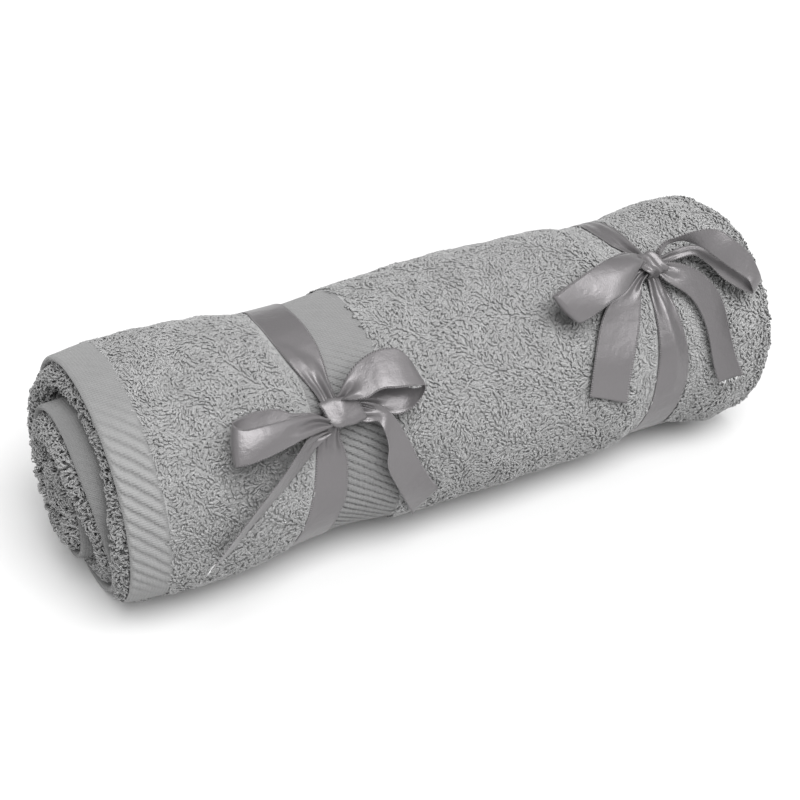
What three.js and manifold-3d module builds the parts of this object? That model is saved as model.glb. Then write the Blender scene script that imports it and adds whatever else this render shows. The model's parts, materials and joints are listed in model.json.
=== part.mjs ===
// Rolled hand towel tied with two satin ribbons
// Millimetres, +Z up. The roll lies along X and rests on Z = 0, with its hemmed end at -X.
import * as THREE from "three";
import { mergeVertices } from "three/addons/utils/BufferGeometryUtils.js";
import Module from "manifold-3d";

// Driving sizes of the roll
const hemmedEnd = -164;
const foldedEnd = 160;
const axisHeight = 53.2;
const widthRatio = 1.04;
const turnPitch = 18;
const turnCount = 3;
const eyeRadius = 2.5;
const innerReach = 9;
const reachStart = 330;
const reachFull = 470;
const endRounding = 10;

// Angles run up the front of the roll from the horizontal, in degrees
const looseEdgeAngle = -50;
const stepStart = 315;
const stepLength = 100;
const noseAngle = 14;
const noseDrop = 3.5;

// Woven bands without pile, let in below the terry
const hemWidth = 17;
const hemDepth = 0.5;
const hemRimBevel = 0.8;
const hemRibs = 56;
const hemSlant = -15;
const hemRibHeight = 0.45;
const dobbyStart = -76;
const dobbyEnd = -39.5;
const dobbyDepth = 1.3;
const dobbyRibs = 84;
const dobbySlant = -20;
const dobbyRibHeight = 0.35;

// The ribs are fullest on the front, and keep a share of their height behind
const ribFullAngle = 5;
const ribShareBehind = 0.35;

// Unevenness of the terry: waves round the roll that turn along it
const lumpHeight = 0.7;
const lumpWaves = [
  { around: 3, turnLength: 31, phase: 0, share: 0.6 },
  { around: 2, turnLength: -19, phase: 1, share: 0.5 },
  { around: 5, turnLength: 13, phase: 2, share: 0.4 },
];

// Ribbon
const ribbonThickness = 1;
const ribbonGap = 0.35;
const knotPinch = 0.08;

// Mesh density
const ringSteps = 60;
const endSteps = 48;
const stripStepsPerRow = 3;

// Radius of the roll along its length, drawn in under the two ribbons
const profile = [
  { x: -175, radius: 53.6, lumps: 0.3 },
  { x: -164, radius: 54.0, lumps: 0.3 },
  { x: -147, radius: 55.4, lumps: 0.8 },
  { x: -122, radius: 55.8, lumps: 1.0 },
  { x: -103, radius: 53.4, lumps: 0.6 },
  { x: -90, radius: 50.2, lumps: 0.0 },
  { x: -60, radius: 50.2, lumps: 0.0 },
  { x: -42, radius: 51.8, lumps: 0.5 },
  { x: -20, radius: 54.2, lumps: 1.0 },
  { x: 15, radius: 55.3, lumps: 1.0 },
  { x: 50, radius: 54.0, lumps: 1.0 },
  { x: 70, radius: 51.8, lumps: 0.5 },
  { x: 82, radius: 50.5, lumps: 0.0 },
  { x: 108, radius: 50.5, lumps: 0.0 },
  { x: 122, radius: 53.4, lumps: 0.8 },
  { x: 138, radius: 55.2, lumps: 1.0 },
  { x: 150, radius: 54.4, lumps: 0.6 },
  { x: 165, radius: 53.0, lumps: 0.3 },
];

// Places along the roll where the terry surface has a ring of points
const terryStations = [
  [-146.2, -138, -130, -122, -114, -106, -98, -90, -83, -76.8],
  [-38.7, -30, -20, -8, 4, 16, 28, 40, 51, 61, 71, 82, 95, 108, 115, 122, 130, 138, 144],
];
const hemStations = 3;
const dobbyStations = 4;

// Hemmed end, across one turn from its outer rim inwards: the hem's edge, then the folded plies
const hemmedProfile = [
  { across: 0, out: 0 },
  { across: 0.17, out: 0 },
  { across: 0.22, out: -10 },
  { across: 0.31, out: -3 },
  { across: 0.52, out: -0.5 },
  { across: 0.78, out: -3 },
  { across: 0.9, out: -13 },
];

// Folded end, across one turn: a rounded fold, then the inner ply's hem
const foldedProfile = [
  { across: 0, out: -endRounding },
  { across: 0.09, out: -4 },
  { across: 0.3, out: 0 },
  { across: 0.53, out: -4 },
  { across: 0.63, out: -12 },
  { across: 0.72, out: -2.5 },
  { across: 0.9, out: -4 },
];

// Where the first turns stand apart at the hemmed end
const gapes = [
  { angle: 112, spread: 24, share: 0.26 },
  { angle: -8, spread: 26, share: 0.3 },
];
const gapedWinding = 400;
const hemEdgeShare = 0.31;

// A ribbon's band round the roll: centre and half width by angle
const leftBand = [
  { angle: 40, x: -69, half: 5.5 },
  { angle: 52, x: -70, half: 7 },
  { angle: 64, x: -71, half: 8.8 },
  { angle: 120, x: -71.5, half: 9.5 },
  { angle: 185, x: -75, half: 9.5 },
  { angle: 250, x: -79, half: 9.5 },
  { angle: 320, x: -79.5, half: 9.5 },
  { angle: 350, x: -78.5, half: 9 },
  { angle: 372, x: -75.5, half: 7.8 },
  { angle: 385, x: -73, half: 6 },
];
const rightBand = [
  { angle: 60, x: 95, half: 5 },
  { angle: 72, x: 95, half: 6.2 },
  { angle: 86, x: 93, half: 8.6 },
  { angle: 104, x: 92.3, half: 9.5 },
  { angle: 180, x: 93.5, half: 9.5 },
  { angle: 250, x: 95, half: 9.5 },
  { angle: 320, x: 95.5, half: 9 },
  { angle: 350, x: 96.5, half: 8.4 },
  { angle: 385, x: 98, half: 7.6 },
  { angle: 402, x: 98.5, half: 6 },
];

// Loops and tails: two edges, a and b, each by place along the roll, angle and lift off the terry
const leftBow = {
  knot: { x: -69, angle: 38.5, lift: 6.5, along: 7.6, round: 6.8, deep: 5.6 },
  band: leftBand,
  strips: {
    leftLoopBack: [
      { ax: -72, aa: 41, al: 8, bx: -71.5, ba: 34, bl: 6 },
      { ax: -83.5, aa: 46, al: 9, bx: -84, ba: 34, bl: 6 },
      { ax: -97, aa: 47, al: 11, bx: -99.5, ba: 31, bl: 7 },
      { ax: -109.5, aa: 47, al: 12, bx: -113, ba: 31, bl: 9 },
      { ax: -114.5, aa: 46, al: 14, bx: -118, ba: 31, bl: 12 },
    ],
    leftLoopFront: [
      { ax: -114.5, aa: 46, al: 13.5, bx: -118, ba: 31, bl: 11.5 },
      { ax: -113.5, aa: 43, al: 17.5, bx: -116, ba: 31, bl: 15 },
      { ax: -99.5, aa: 42, al: 20, bx: -101.5, ba: 31, bl: 14 },
      { ax: -85.5, aa: 41, al: 16, bx: -87, ba: 33, bl: 12 },
      { ax: -72, aa: 39, al: 10, bx: -72, ba: 34, bl: 8 },
    ],
    rightLoopTop: [
      { ax: -69, aa: 43, al: 9, bx: -66, ba: 39, bl: 8 },
      { ax: -64.5, aa: 48, al: 12, bx: -64, ba: 42, bl: 17 },
      { ax: -58, aa: 53, al: 13, bx: -58.5, ba: 42, bl: 22 },
      { ax: -49, aa: 56, al: 14, bx: -51.5, ba: 42, bl: 24 },
      { ax: -39.5, aa: 55, al: 15, bx: -44.5, ba: 42, bl: 24 },
      { ax: -34, aa: 49, al: 15, bx: -37.5, ba: 41, bl: 23 },
      { ax: -31.5, aa: 42, al: 12, bx: -34, ba: 38, bl: 21 },
    ],
    rightLoopUnder: [
      { ax: -31.5, aa: 42, al: 12.5, bx: -34, ba: 38, bl: 20.5 },
      { ax: -34, aa: 38, al: 5, bx: -38, ba: 36, bl: 17 },
      { ax: -40, aa: 39, al: 3, bx: -43, ba: 35, bl: 14 },
      { ax: -50, aa: 40, al: 3, bx: -51.5, ba: 36, bl: 11 },
      { ax: -66, aa: 40, al: 5, bx: -66, ba: 37, bl: 9 },
    ],
    leftTail: [
      { ax: -72, aa: 36, al: 7, bx: -70, ba: 33, bl: 7 },
      { ax: -84.5, aa: 32, al: 9, bx: -78, ba: 27, bl: 5 },
      { ax: -94.5, aa: 26, al: 11.5, bx: -87, ba: 19, bl: 3 },
      { ax: -106.5, aa: 18, al: 13, bx: -99, ba: 9, bl: 2.5 },
      { ax: -118.5, aa: 10, al: 13, bx: -111.5, ba: 0, bl: 2.5 },
      { ax: -127, aa: 2, al: 12, bx: -121, ba: -7, bl: 2.5 },
      { ax: -134, aa: -8, al: 11, bx: -129, ba: -20, bl: 2.5 },
    ],
    rightTail: [
      { ax: -66, aa: 34, al: 5, bx: -66, ba: 40, bl: 8 },
      { ax: -56.5, aa: 31, al: 5, bx: -54.5, ba: 38, bl: 11 },
      { ax: -51.5, aa: 25, al: 6, bx: -47, ba: 33, bl: 9 },
      { ax: -50, aa: 18, al: 8, bx: -42, ba: 27, bl: 5 },
      { ax: -51.5, aa: 10, al: 8, bx: -38.5, ba: 18, bl: 3 },
      { ax: -46, aa: -6, al: 4, bx: -33, ba: 6, bl: 2.5 },
      { ax: -34.5, aa: -36, al: 2.5, bx: -26.5, ba: -15, bl: 2.5 },
    ],
  },
};
const rightBow = {
  knot: { x: 94.8, angle: 61, lift: 6, along: 6.6, round: 6.2, deep: 5.4 },
  band: rightBand,
  strips: {
    leftLoopBack: [
      { ax: 93, aa: 65, al: 8, bx: 92, ba: 60, bl: 6 },
      { ax: 87, aa: 73, al: 9, bx: 83, ba: 60, bl: 6 },
      { ax: 68, aa: 68, al: 10, bx: 65, ba: 51, bl: 7 },
      { ax: 48.5, aa: 62, al: 12, bx: 48, ba: 46, bl: 10 },
      { ax: 38, aa: 57, al: 14, bx: 46.5, ba: 44, bl: 12 },
    ],
    leftLoopFront: [
      { ax: 38, aa: 57, al: 13.5, bx: 46.5, ba: 44, bl: 11.5 },
      { ax: 39.5, aa: 57, al: 17.5, bx: 48, ba: 44, bl: 15.5 },
      { ax: 57.5, aa: 61, al: 20, bx: 59, ba: 47, bl: 17 },
      { ax: 74.5, aa: 65, al: 17, bx: 76, ba: 55, bl: 14 },
      { ax: 92, aa: 64, al: 9, bx: 93, ba: 59, bl: 8 },
    ],
    rightLoopTop: [
      { ax: 97, aa: 64, al: 8, bx: 97, ba: 60, bl: 7 },
      { ax: 103.5, aa: 67, al: 14, bx: 105.5, ba: 62, bl: 8 },
      { ax: 113, aa: 67, al: 19, bx: 115, ba: 62, bl: 8 },
      { ax: 124, aa: 64, al: 22, bx: 121.5, ba: 55, bl: 9 },
      { ax: 132, aa: 56, al: 22, bx: 127.5, ba: 47, bl: 9 },
      { ax: 137.5, aa: 48, al: 20, bx: 132, ba: 40, bl: 10 },
      { ax: 139.5, aa: 41, al: 16, bx: 134.5, ba: 35, bl: 9 },
    ],
    rightLoopUnder: [
      { ax: 139.5, aa: 41, al: 15.5, bx: 134.5, ba: 35, bl: 8.5 },
      { ax: 136, aa: 47, al: 11, bx: 129, ba: 39, bl: 4 },
      { ax: 129.5, aa: 57, al: 9, bx: 122, ba: 48, bl: 3.5 },
      { ax: 121, aa: 66, al: 8, bx: 115, ba: 56, bl: 3.5 },
      { ax: 109, aa: 66, al: 6, bx: 106, ba: 58, bl: 4 },
      { ax: 97, aa: 63, al: 6, bx: 97, ba: 59, bl: 5 },
    ],
    leftTail: [
      { ax: 92, aa: 60, al: 6, bx: 94, ba: 57, bl: 6 },
      { ax: 80.5, aa: 58, al: 5, bx: 88, ba: 53, bl: 7 },
      { ax: 71, aa: 50, al: 3.5, bx: 85, ba: 46, bl: 5 },
      { ax: 62.5, aa: 39, al: 2.5, bx: 81, ba: 36, bl: 3.5 },
      { ax: 53.5, aa: 25, al: 2.5, bx: 73, ba: 20, bl: 2.5 },
      { ax: 49, aa: 12, al: 2.5, bx: 69, ba: 2, bl: 2.5 },
    ],
    rightTail: [
      { ax: 97, aa: 58, al: 6, bx: 97, ba: 62, bl: 7 },
      { ax: 102, aa: 52, al: 6, bx: 108, ba: 59, bl: 9 },
      { ax: 108.5, aa: 45, al: 4, bx: 116, ba: 55, bl: 9 },
      { ax: 113, aa: 34, al: 3, bx: 124, ba: 43, bl: 9 },
      { ax: 114.5, aa: 19, al: 2.5, bx: 127, ba: 28, bl: 8 },
      { ax: 119, aa: -4, al: 2.5, bx: 133, ba: -1, bl: 8 },
    ],
  },
};

// Colours of the woven cotton and the satin
const towelColour = 0x9c9c9c;
const ribbonColour = 0x8d8a8c;

const radians = THREE.MathUtils.degToRad;
const mix = THREE.MathUtils.lerp;
const smooth = THREE.MathUtils.smoothstep;

// Value of a named column at a place, between the rows of a table, without overshoot
function tableValue(table, key, place, column) {
  let row = 0;
  while (row < table.length - 2 && place > table[row + 1][key]) {
    row += 1;
  }
  const slope = (index) => {
    if (index <= 0 || index >= table.length - 1) {
      return 0;
    }
    const before = (table[index][column] - table[index - 1][column])
      / (table[index][key] - table[index - 1][key]);
    const after = (table[index + 1][column] - table[index][column])
      / (table[index + 1][key] - table[index][key]);
    return before * after <= 0 ? 0 : (2 * before * after) / (before + after);
  };
  const from = table[row];
  const to = table[row + 1];
  const span = to[key] - from[key];
  const t = THREE.MathUtils.clamp((place - from[key]) / span, 0, 1);
  return (2 * t ** 3 - 3 * t ** 2 + 1) * from[column]
    + (t ** 3 - 2 * t ** 2 + t) * span * slope(row)
    + (3 * t ** 2 - 2 * t ** 3) * to[column]
    + (t ** 3 - t ** 2) * span * slope(row + 1);
}

// Radius of the roll's form at a place, with its unevenness
function formRadius(x, angle) {
  let uneven = 0;
  for (const { around, turnLength, phase, share } of lumpWaves) {
    uneven += share * Math.sin(around * radians(angle) + x / turnLength + phase);
  }
  const lumps = lumpHeight * tableValue(profile, "x", x, "lumps");
  return tableValue(profile, "x", x, "radius") + lumps * uneven;
}

// Outer radius of the wound cloth by winding angle, stepping in by one turn where it passes
// under the turn outside it
function woundRadius(x, winding) {
  let radius = formRadius(x, looseEdgeAngle + winding);
  for (let turn = 0; turn < turnCount; turn += 1) {
    const start = stepStart + 360 * turn;
    radius -= turnPitch * smooth(winding, start, start + stepLength);
  }
  if (winding < noseAngle) {
    const rise = 1 - winding / noseAngle;
    radius -= noseDrop * (1 - Math.sqrt(1 - rise * rise));
  }
  return Math.max(radius, eyeRadius);
}

// Point at a place along the roll, an angle up the front and a radius, never below the floor
function rollPoint(x, angle, radius) {
  const a = radians(angle);
  const y = -Math.cos(a) * radius * widthRatio;
  const z = Math.max(0, axisHeight + Math.sin(a) * radius);
  return new THREE.Vector3(x, y, z);
}

// Mesh under construction: points and triangles that share them
class MeshBuilder {
  constructor() {
    this.points = [];
    this.triangles = [];
  }

  point(position) {
    this.points.push(position);
    return this.points.length - 1;
  }

  triangle(a, b, c) {
    if (a !== b && b !== c && c !== a) {
      this.triangles.push(a, b, c);
    }
  }

  // Triangles between two rows of points, each with the key that orders it
  bridge(lower, upper) {
    let i = 0;
    let j = 0;
    while (i < lower.length - 1 || j < upper.length - 1) {
      const nextLower = i < lower.length - 1 ? lower[i + 1].key + lower[i].key : Infinity;
      const nextUpper = j < upper.length - 1 ? upper[j + 1].key + upper[j].key : Infinity;
      if (nextLower <= nextUpper) {
        this.triangle(lower[i].index, upper[j].index, lower[i + 1].index);
        i += 1;
      } else {
        this.triangle(lower[i].index, upper[j].index, upper[j + 1].index);
        j += 1;
      }
    }
  }

  geometry() {
    const geometry = new THREE.BufferGeometry();
    const position = this.points.flatMap((p) => [p.x, p.y, p.z]);
    geometry.setAttribute("position", new THREE.Float32BufferAttribute(position, 3));
    geometry.setIndex(this.triangles);
    geometry.computeVertexNormals();
    return geometry;
  }
}

// Woven ribs as a zigzag: a crest and a trough for each, lower behind
function ribHeight(index, angle, height) {
  const front = smooth(Math.cos(radians(angle - ribFullAngle)), -0.2, 0.7);
  return (index % 2 ? -0.5 : 0.5) * height * mix(ribShareBehind, 1, front);
}

// A closed ring of the outer surface; its last point lies under the loose edge
function ring(mesh, x, steps) {
  const row = [];
  for (let step = 0; step <= steps; step += 1) {
    const winding = (360 * step) / steps;
    const point = rollPoint(x, looseEdgeAngle + winding, woundRadius(x, winding));
    row.push({ index: mesh.point(point), winding, key: winding });
  }
  return row;
}

// A ring of a ribbed band, its ribs turned by a shift from those of the band's first ring
function ribbedRing(mesh, x, ribs, depth, height, shift) {
  const row = [];
  const step = 180 / ribs;
  const add = (winding, rib, key) => {
    const angle = looseEdgeAngle + winding;
    const radius = woundRadius(x, winding) - depth + ribHeight(rib, angle, height);
    row.push({ index: mesh.point(rollPoint(x, angle, radius)), winding, key });
  };
  add(0, 0, -Number.MAX_SAFE_INTEGER);
  const first = Math.ceil((step - shift) / step);
  for (let rib = first; (rib + 0.5) * step + shift < 360; rib += 1) {
    add(rib * step + shift, rib, rib);
  }
  add(360, 0, Number.MAX_SAFE_INTEGER);
  return row;
}

// A ring's points in order, back to its first across the step at the loose edge
const closed = (row) => [...row, { ...row[0], key: row[row.length - 1].key + 1 }];
const byWinding = (row) => closed(row.map(({ index, winding }) => ({ index, key: winding })));

// Rings of a ribbed band, joined to each other rib by rib
function ribbedBand(mesh, from, to, stations, ribs, depth, height, slant) {
  const rows = [];
  for (let station = 0; station < stations; station += 1) {
    const share = station / (stations - 1);
    rows.push(ribbedRing(mesh, mix(from, to, share), ribs, depth, height, slant * share));
  }
  for (let station = 1; station < stations; station += 1) {
    mesh.bridge(closed(rows[station - 1]), closed(rows[station]));
  }
  return [rows[0], rows[stations - 1]];
}

// How far the turns stand out of the hemmed end, by winding angle
const reachOf = (winding) => innerReach * smooth(winding, reachStart, reachFull);

// Share of a turn's thickness that opens up at the hemmed end
function gapeAt(winding) {
  const angle = looseEdgeAngle + winding;
  let share = 0;
  for (const gape of gapes) {
    const away = (angle - gape.angle) / gape.spread;
    share += gape.share * Math.exp(-away * away);
  }
  return winding < gapedWinding ? share : 0;
}

// End face of the wound cloth: one long spiral of turns, each row running across a turn
function endFace(mesh, rim, across, edge, outward, reach, gape) {
  const stepsInAll = turnCount * endSteps;
  const angleStep = 360 / endSteps;
  const rims = rim.map(({ index }) => index);
  const rimAt = (step) => {
    if (rims[step] === undefined) {
      const winding = step * angleStep;
      const x = edge + outward * (reach(winding) + across[0].out);
      const radius = woundRadius(edge, winding);
      rims[step] = mesh.point(rollPoint(x, looseEdgeAngle + winding, radius));
    }
    return rims[step];
  };
  const rows = [];
  for (let step = 0; step <= stepsInAll; step += 1) {
    const winding = step * angleStep;
    const angle = looseEdgeAngle + winding;
    const outer = rimAt(step);
    if (step === stepsInAll) {
      rows.push([outer]);
      continue;
    }
    const inner = rimAt(step + endSteps);
    if (step === 0) {
      rows.push([outer, inner]);
      continue;
    }
    const open = gape ? gapeAt(winding) : 0;
    const outerRadius = woundRadius(edge, winding);
    const innerRadius = woundRadius(edge, winding + 360);
    const row = [outer];
    for (const { across: share, out } of across.slice(1)) {
      const moved = share - open * Math.max(0, share - hemEdgeShare) / (1 - hemEdgeShare);
      const x = edge + outward * (mix(reach(winding), reach(winding + 360), share) + out);
      row.push(mesh.point(rollPoint(x, angle, mix(outerRadius, innerRadius, moved))));
    }
    row.push(inner);
    rows.push(row);
  }
  for (let step = 1; step <= stepsInAll; step += 1) {
    const ordered = [rows[step - 1], rows[step]].map((row) =>
      row.map((index, place) => ({ index, key: place / Math.max(row.length - 1, 1) })));
    if (outward > 0) {
      mesh.bridge(ordered[1], ordered[0]);
    } else {
      mesh.bridge(ordered[0], ordered[1]);
    }
  }
  const eyeX = edge + outward * (reach(360 * turnCount) + across[0].out);
  const eye = mesh.point(new THREE.Vector3(eyeX, 0, axisHeight));
  const firstEye = stepsInAll;
  const lastEye = stepsInAll + endSteps;
  for (let step = firstEye; step < lastEye; step += 1) {
    const next = step + 1 < lastEye ? rims[step + 1] : rims[firstEye];
    if (outward > 0) {
      mesh.triangle(next, rims[step], eye);
    } else {
      mesh.triangle(rims[step], next, eye);
    }
  }
}

// The towel: its outer surface in rings from the hemmed end, and a wound face at each end
function towelGeometry() {
  const mesh = new MeshBuilder();
  const rim = ring(mesh, hemmedEnd, endSteps);
  const hemInner = hemmedEnd + hemWidth;
  const hem = ribbedBand(mesh, hemmedEnd + hemRimBevel, hemInner, hemStations, hemRibs, hemDepth,
    hemRibHeight, hemSlant);
  const dobby = ribbedBand(mesh, dobbyStart, dobbyEnd, dobbyStations, dobbyRibs, dobbyDepth,
    dobbyRibHeight, dobbySlant);
  const [left, right] = terryStations.map((stations) =>
    stations.map((x) => byWinding(ring(mesh, x, ringSteps))));
  const last = ring(mesh, foldedEnd - endRounding, endSteps);
  const rows = [byWinding(rim), byWinding(hem[0])];
  const joins = [rows, [byWinding(hem[1]), ...left, byWinding(dobby[0])],
    [byWinding(dobby[1]), ...right, byWinding(last)]];
  for (const join of joins) {
    for (let station = 1; station < join.length; station += 1) {
      mesh.bridge(join[station - 1], join[station]);
    }
  }
  endFace(mesh, rim, hemmedProfile, hemmedEnd, -1, reachOf, true);
  endFace(mesh, last, foldedProfile, foldedEnd, 1, () => 0, false);
  return mesh.geometry();
}

// Closed solid of a ribbon between two rows of edge points, its thickness set off evenly
function sheetGeometry(edges, isRing) {
  const count = edges.length;
  const mesh = new MeshBuilder();
  const rows = edges.map(({ a, b }, index) => {
    const before = edges[isRing ? (index + count - 1) % count : Math.max(index - 1, 0)];
    const after = edges[isRing ? (index + 1) % count : Math.min(index + 1, count - 1)];
    const along = after.a.clone().add(after.b).sub(before.a).sub(before.b);
    const normal = b.clone().sub(a).cross(along).setLength(ribbonThickness / 2);
    const middle = a.clone().lerp(b, 0.5);
    const above = [a, middle, b].map((p) => p.clone().add(normal));
    const below = [b, middle, a].map((p) => p.clone().sub(normal));
    return [...above, ...below].map((p) => mesh.point(p));
  });
  const quad = (a, b, c, d) => {
    mesh.triangle(a, b, c);
    mesh.triangle(a, c, d);
  };
  const segments = isRing ? count : count - 1;
  for (let index = 0; index < segments; index += 1) {
    const here = rows[index];
    const next = rows[(index + 1) % count];
    for (let corner = 0; corner < here.length; corner += 1) {
      const other = (corner + 1) % here.length;
      quad(here[corner], here[other], next[other], next[corner]);
    }
  }
  if (!isRing) {
    const [first, last] = [rows[0], rows[count - 1]];
    quad(first[0], first[5], first[4], first[1]);
    quad(first[1], first[4], first[3], first[2]);
    quad(last[0], last[1], last[4], last[5]);
    quad(last[1], last[2], last[3], last[4]);
  }
  return mesh.geometry();
}

// The ribbon's band, lying round the roll and bridging the step at the loose edge
function bandGeometry(table) {
  const edges = [];
  const start = table[0].angle;
  for (let step = 0; step < ringSteps; step += 1) {
    const angle = looseEdgeAngle + (360 * step) / ringSteps;
    const place = start + THREE.MathUtils.euclideanModulo(angle - start, 360);
    const x = tableValue(table, "angle", place, "x");
    const half = tableValue(table, "angle", place, "half");
    const radius = formRadius(x, angle) + ribbonGap + ribbonThickness / 2;
    edges.push({ a: rollPoint(x + half, angle, radius), b: rollPoint(x - half, angle, radius) });
  }
  return sheetGeometry(edges, true);
}

// A loop's ply or a tail, through the edge points of its table
function stripGeometry(table) {
  const place = (x, angle, lift) => rollPoint(x, angle, formRadius(x, angle) + lift);
  const edgeA = new THREE.CatmullRomCurve3(table.map((row) => place(row.ax, row.aa, row.al)));
  const edgeB = new THREE.CatmullRomCurve3(table.map((row) => place(row.bx, row.ba, row.bl)));
  const steps = (table.length - 1) * stripStepsPerRow;
  const edges = [];
  for (let step = 0; step <= steps; step += 1) {
    edges.push({ a: edgeA.getPoint(step / steps), b: edgeB.getPoint(step / steps) });
  }
  return sheetGeometry(edges, false);
}

// The knot: a flattened ball with three soft pinches, lying on the band
function knotGeometry({ x, angle, lift, along, round, deep }) {
  const ball = new THREE.SphereGeometry(1, 14, 10);
  const position = ball.getAttribute("position");
  const a = radians(angle);
  const centre = rollPoint(x, angle, formRadius(x, angle) + lift);
  const lengthwise = new THREE.Vector3(1, 0, 0);
  const upward = new THREE.Vector3(0, Math.sin(a), Math.cos(a));
  const outward = new THREE.Vector3(0, -Math.cos(a), Math.sin(a));
  const frame = new THREE.Matrix4().makeBasis(lengthwise, upward, outward).setPosition(centre);
  for (let index = 0; index < position.count; index += 1) {
    const point = new THREE.Vector3().fromBufferAttribute(position, index);
    const pinch = 1 - knotPinch * Math.cos(3 * Math.atan2(point.y, point.x));
    point.set(point.x * along * pinch, point.y * round * pinch, point.z * deep);
    position.setXYZ(index, ...point.applyMatrix4(frame));
  }
  return ball;
}

const wasm = await Module();
wasm.setup();

// Closed solid from a geometry, its shared vertices merged
function solidOf(geometry) {
  geometry.deleteAttribute("normal");
  geometry.deleteAttribute("uv");
  const merged = mergeVertices(geometry);
  return new wasm.Manifold(new wasm.Mesh({
    numProp: 3,
    vertProperties: new Float32Array(merged.getAttribute("position").array),
    triVerts: new Uint32Array(merged.getIndex().array),
  }));
}

// Geometry from a joined solid
function geometryOf(solid) {
  const { vertProperties, triVerts } = solid.getMesh();
  const geometry = new THREE.BufferGeometry();
  geometry.setAttribute("position", new THREE.BufferAttribute(vertProperties, 3));
  geometry.setIndex(new THREE.BufferAttribute(triVerts, 1));
  geometry.computeVertexNormals();
  return geometry;
}

// One ribbon: its band, knot, loops and tails joined into one solid
function ribbonGeometry(bow) {
  let solid = solidOf(bandGeometry(bow.band)).add(solidOf(knotGeometry(bow.knot)));
  for (const table of Object.values(bow.strips)) {
    solid = solid.add(solidOf(stripGeometry(table)));
  }
  return geometryOf(solid);
}

function namedMesh(name, geometry, colour, roughness) {
  const material = new THREE.MeshStandardMaterial({ color: colour, roughness, metalness: 0 });
  const mesh = new THREE.Mesh(geometry, material);
  mesh.name = name;
  return mesh;
}

const group = new THREE.Group();
group.add(namedMesh("towel_roll", towelGeometry(), towelColour, 0.95));
group.add(namedMesh("ribbon_left", ribbonGeometry(leftBow), ribbonColour, 0.35));
group.add(namedMesh("ribbon_right", ribbonGeometry(rightBow), ribbonColour, 0.35));

// The origin lies under the middle of the whole part
const box = new THREE.Box3().setFromObject(group);
const middle = box.getCenter(new THREE.Vector3());
group.position.set(-middle.x, -middle.y, -box.min.z);

export default group;
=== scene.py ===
"""Rolled terry hand towel tied with two satin ribbons: its cloth, pile, ribbons and studio stage."""

import json
import math

import bmesh
import bpy
import numpy as np
from bpy.props import FloatProperty, FloatVectorProperty, IntProperty, PointerProperty
from mathutils import Matrix, Vector
from mathutils.bvhtree import BVHTree

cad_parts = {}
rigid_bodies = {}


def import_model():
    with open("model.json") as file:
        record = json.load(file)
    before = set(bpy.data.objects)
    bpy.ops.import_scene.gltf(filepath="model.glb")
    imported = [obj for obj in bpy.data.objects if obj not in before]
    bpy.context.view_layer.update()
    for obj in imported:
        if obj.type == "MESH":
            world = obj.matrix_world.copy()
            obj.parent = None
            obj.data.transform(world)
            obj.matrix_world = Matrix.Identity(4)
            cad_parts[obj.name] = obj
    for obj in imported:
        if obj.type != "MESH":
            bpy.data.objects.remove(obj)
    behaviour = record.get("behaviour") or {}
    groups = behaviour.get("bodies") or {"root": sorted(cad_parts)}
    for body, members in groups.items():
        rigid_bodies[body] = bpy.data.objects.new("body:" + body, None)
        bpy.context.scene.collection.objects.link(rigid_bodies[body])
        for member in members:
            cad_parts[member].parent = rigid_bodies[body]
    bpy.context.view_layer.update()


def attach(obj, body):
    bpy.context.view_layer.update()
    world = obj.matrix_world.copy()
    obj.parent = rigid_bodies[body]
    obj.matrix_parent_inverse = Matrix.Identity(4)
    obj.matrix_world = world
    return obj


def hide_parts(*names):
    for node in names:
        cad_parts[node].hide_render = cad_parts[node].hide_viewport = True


bl_info = {
    "name": "Rolled hand towel",
    "version": (1, 0, 0),
    "blender": (4, 5, 0),
    "location": "3D View > Sidebar > Towel",
    "description": "Makes a rolled terry hand towel tied with two satin ribbons",
    "category": "Object",
}

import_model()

# Lengths in the tables are millimetres, as in the part's source. The roll's own coordinates
# are the place along it, the angle up its front and the radius
MILLIMETRE = 0.001
ROLL_ORIGIN = (6.5, 6.62, 0.0)
AXIS_HEIGHT = 53.2
WIDTH_RATIO = 1.04
TURN_PITCH = 18.0
TURNS = 3
EYE_RADIUS = 2.5
INNER_REACH = 9.0
REACH_FROM, REACH_TO = 330.0, 470.0
HEM_EDGE, FOLD_EDGE = -164.0, 160.0
LOOSE_EDGE_ANGLE = -50.0
STEP_FROM, STEP_LENGTH = 315.0, 100.0
NOSE_ANGLE, NOSE_DROP = 14.0, 3.5

HEM_WIDTH = 17.0
DOBBY_FROM, DOBBY_TO = -76.0, -39.5
CLOTH_RADIUS = 54.0
# Distance between ribs, and how far a rib runs round the roll for each step along it
HEM_PITCH, HEM_SLANT = 0.0060, 0.95
DOBBY_PITCH, DOBBY_SLANT = 0.0041, 0.8
# The finish's mean wander of the ribs in millimetres, the share of their height that is sunk
# below the flat weave, and the share that the finish adds as bump
RIB_WANDER, RIB_SINK, RIB_BUMP_SHARE = 1.4, 0.6, 0.7

# Depth below the pile's surface of each face of the folded plies
GROUND_DEPTH = 1.2
HEM_DEPTH, DOBBY_DEPTH = 0.5, 1.3

LUMP_HEIGHT = 0.7
LUMP_WAVES = ((3, 31, 0, 0.6), (2, -19, 1, 0.5), (5, 13, 2, 0.4))

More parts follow.
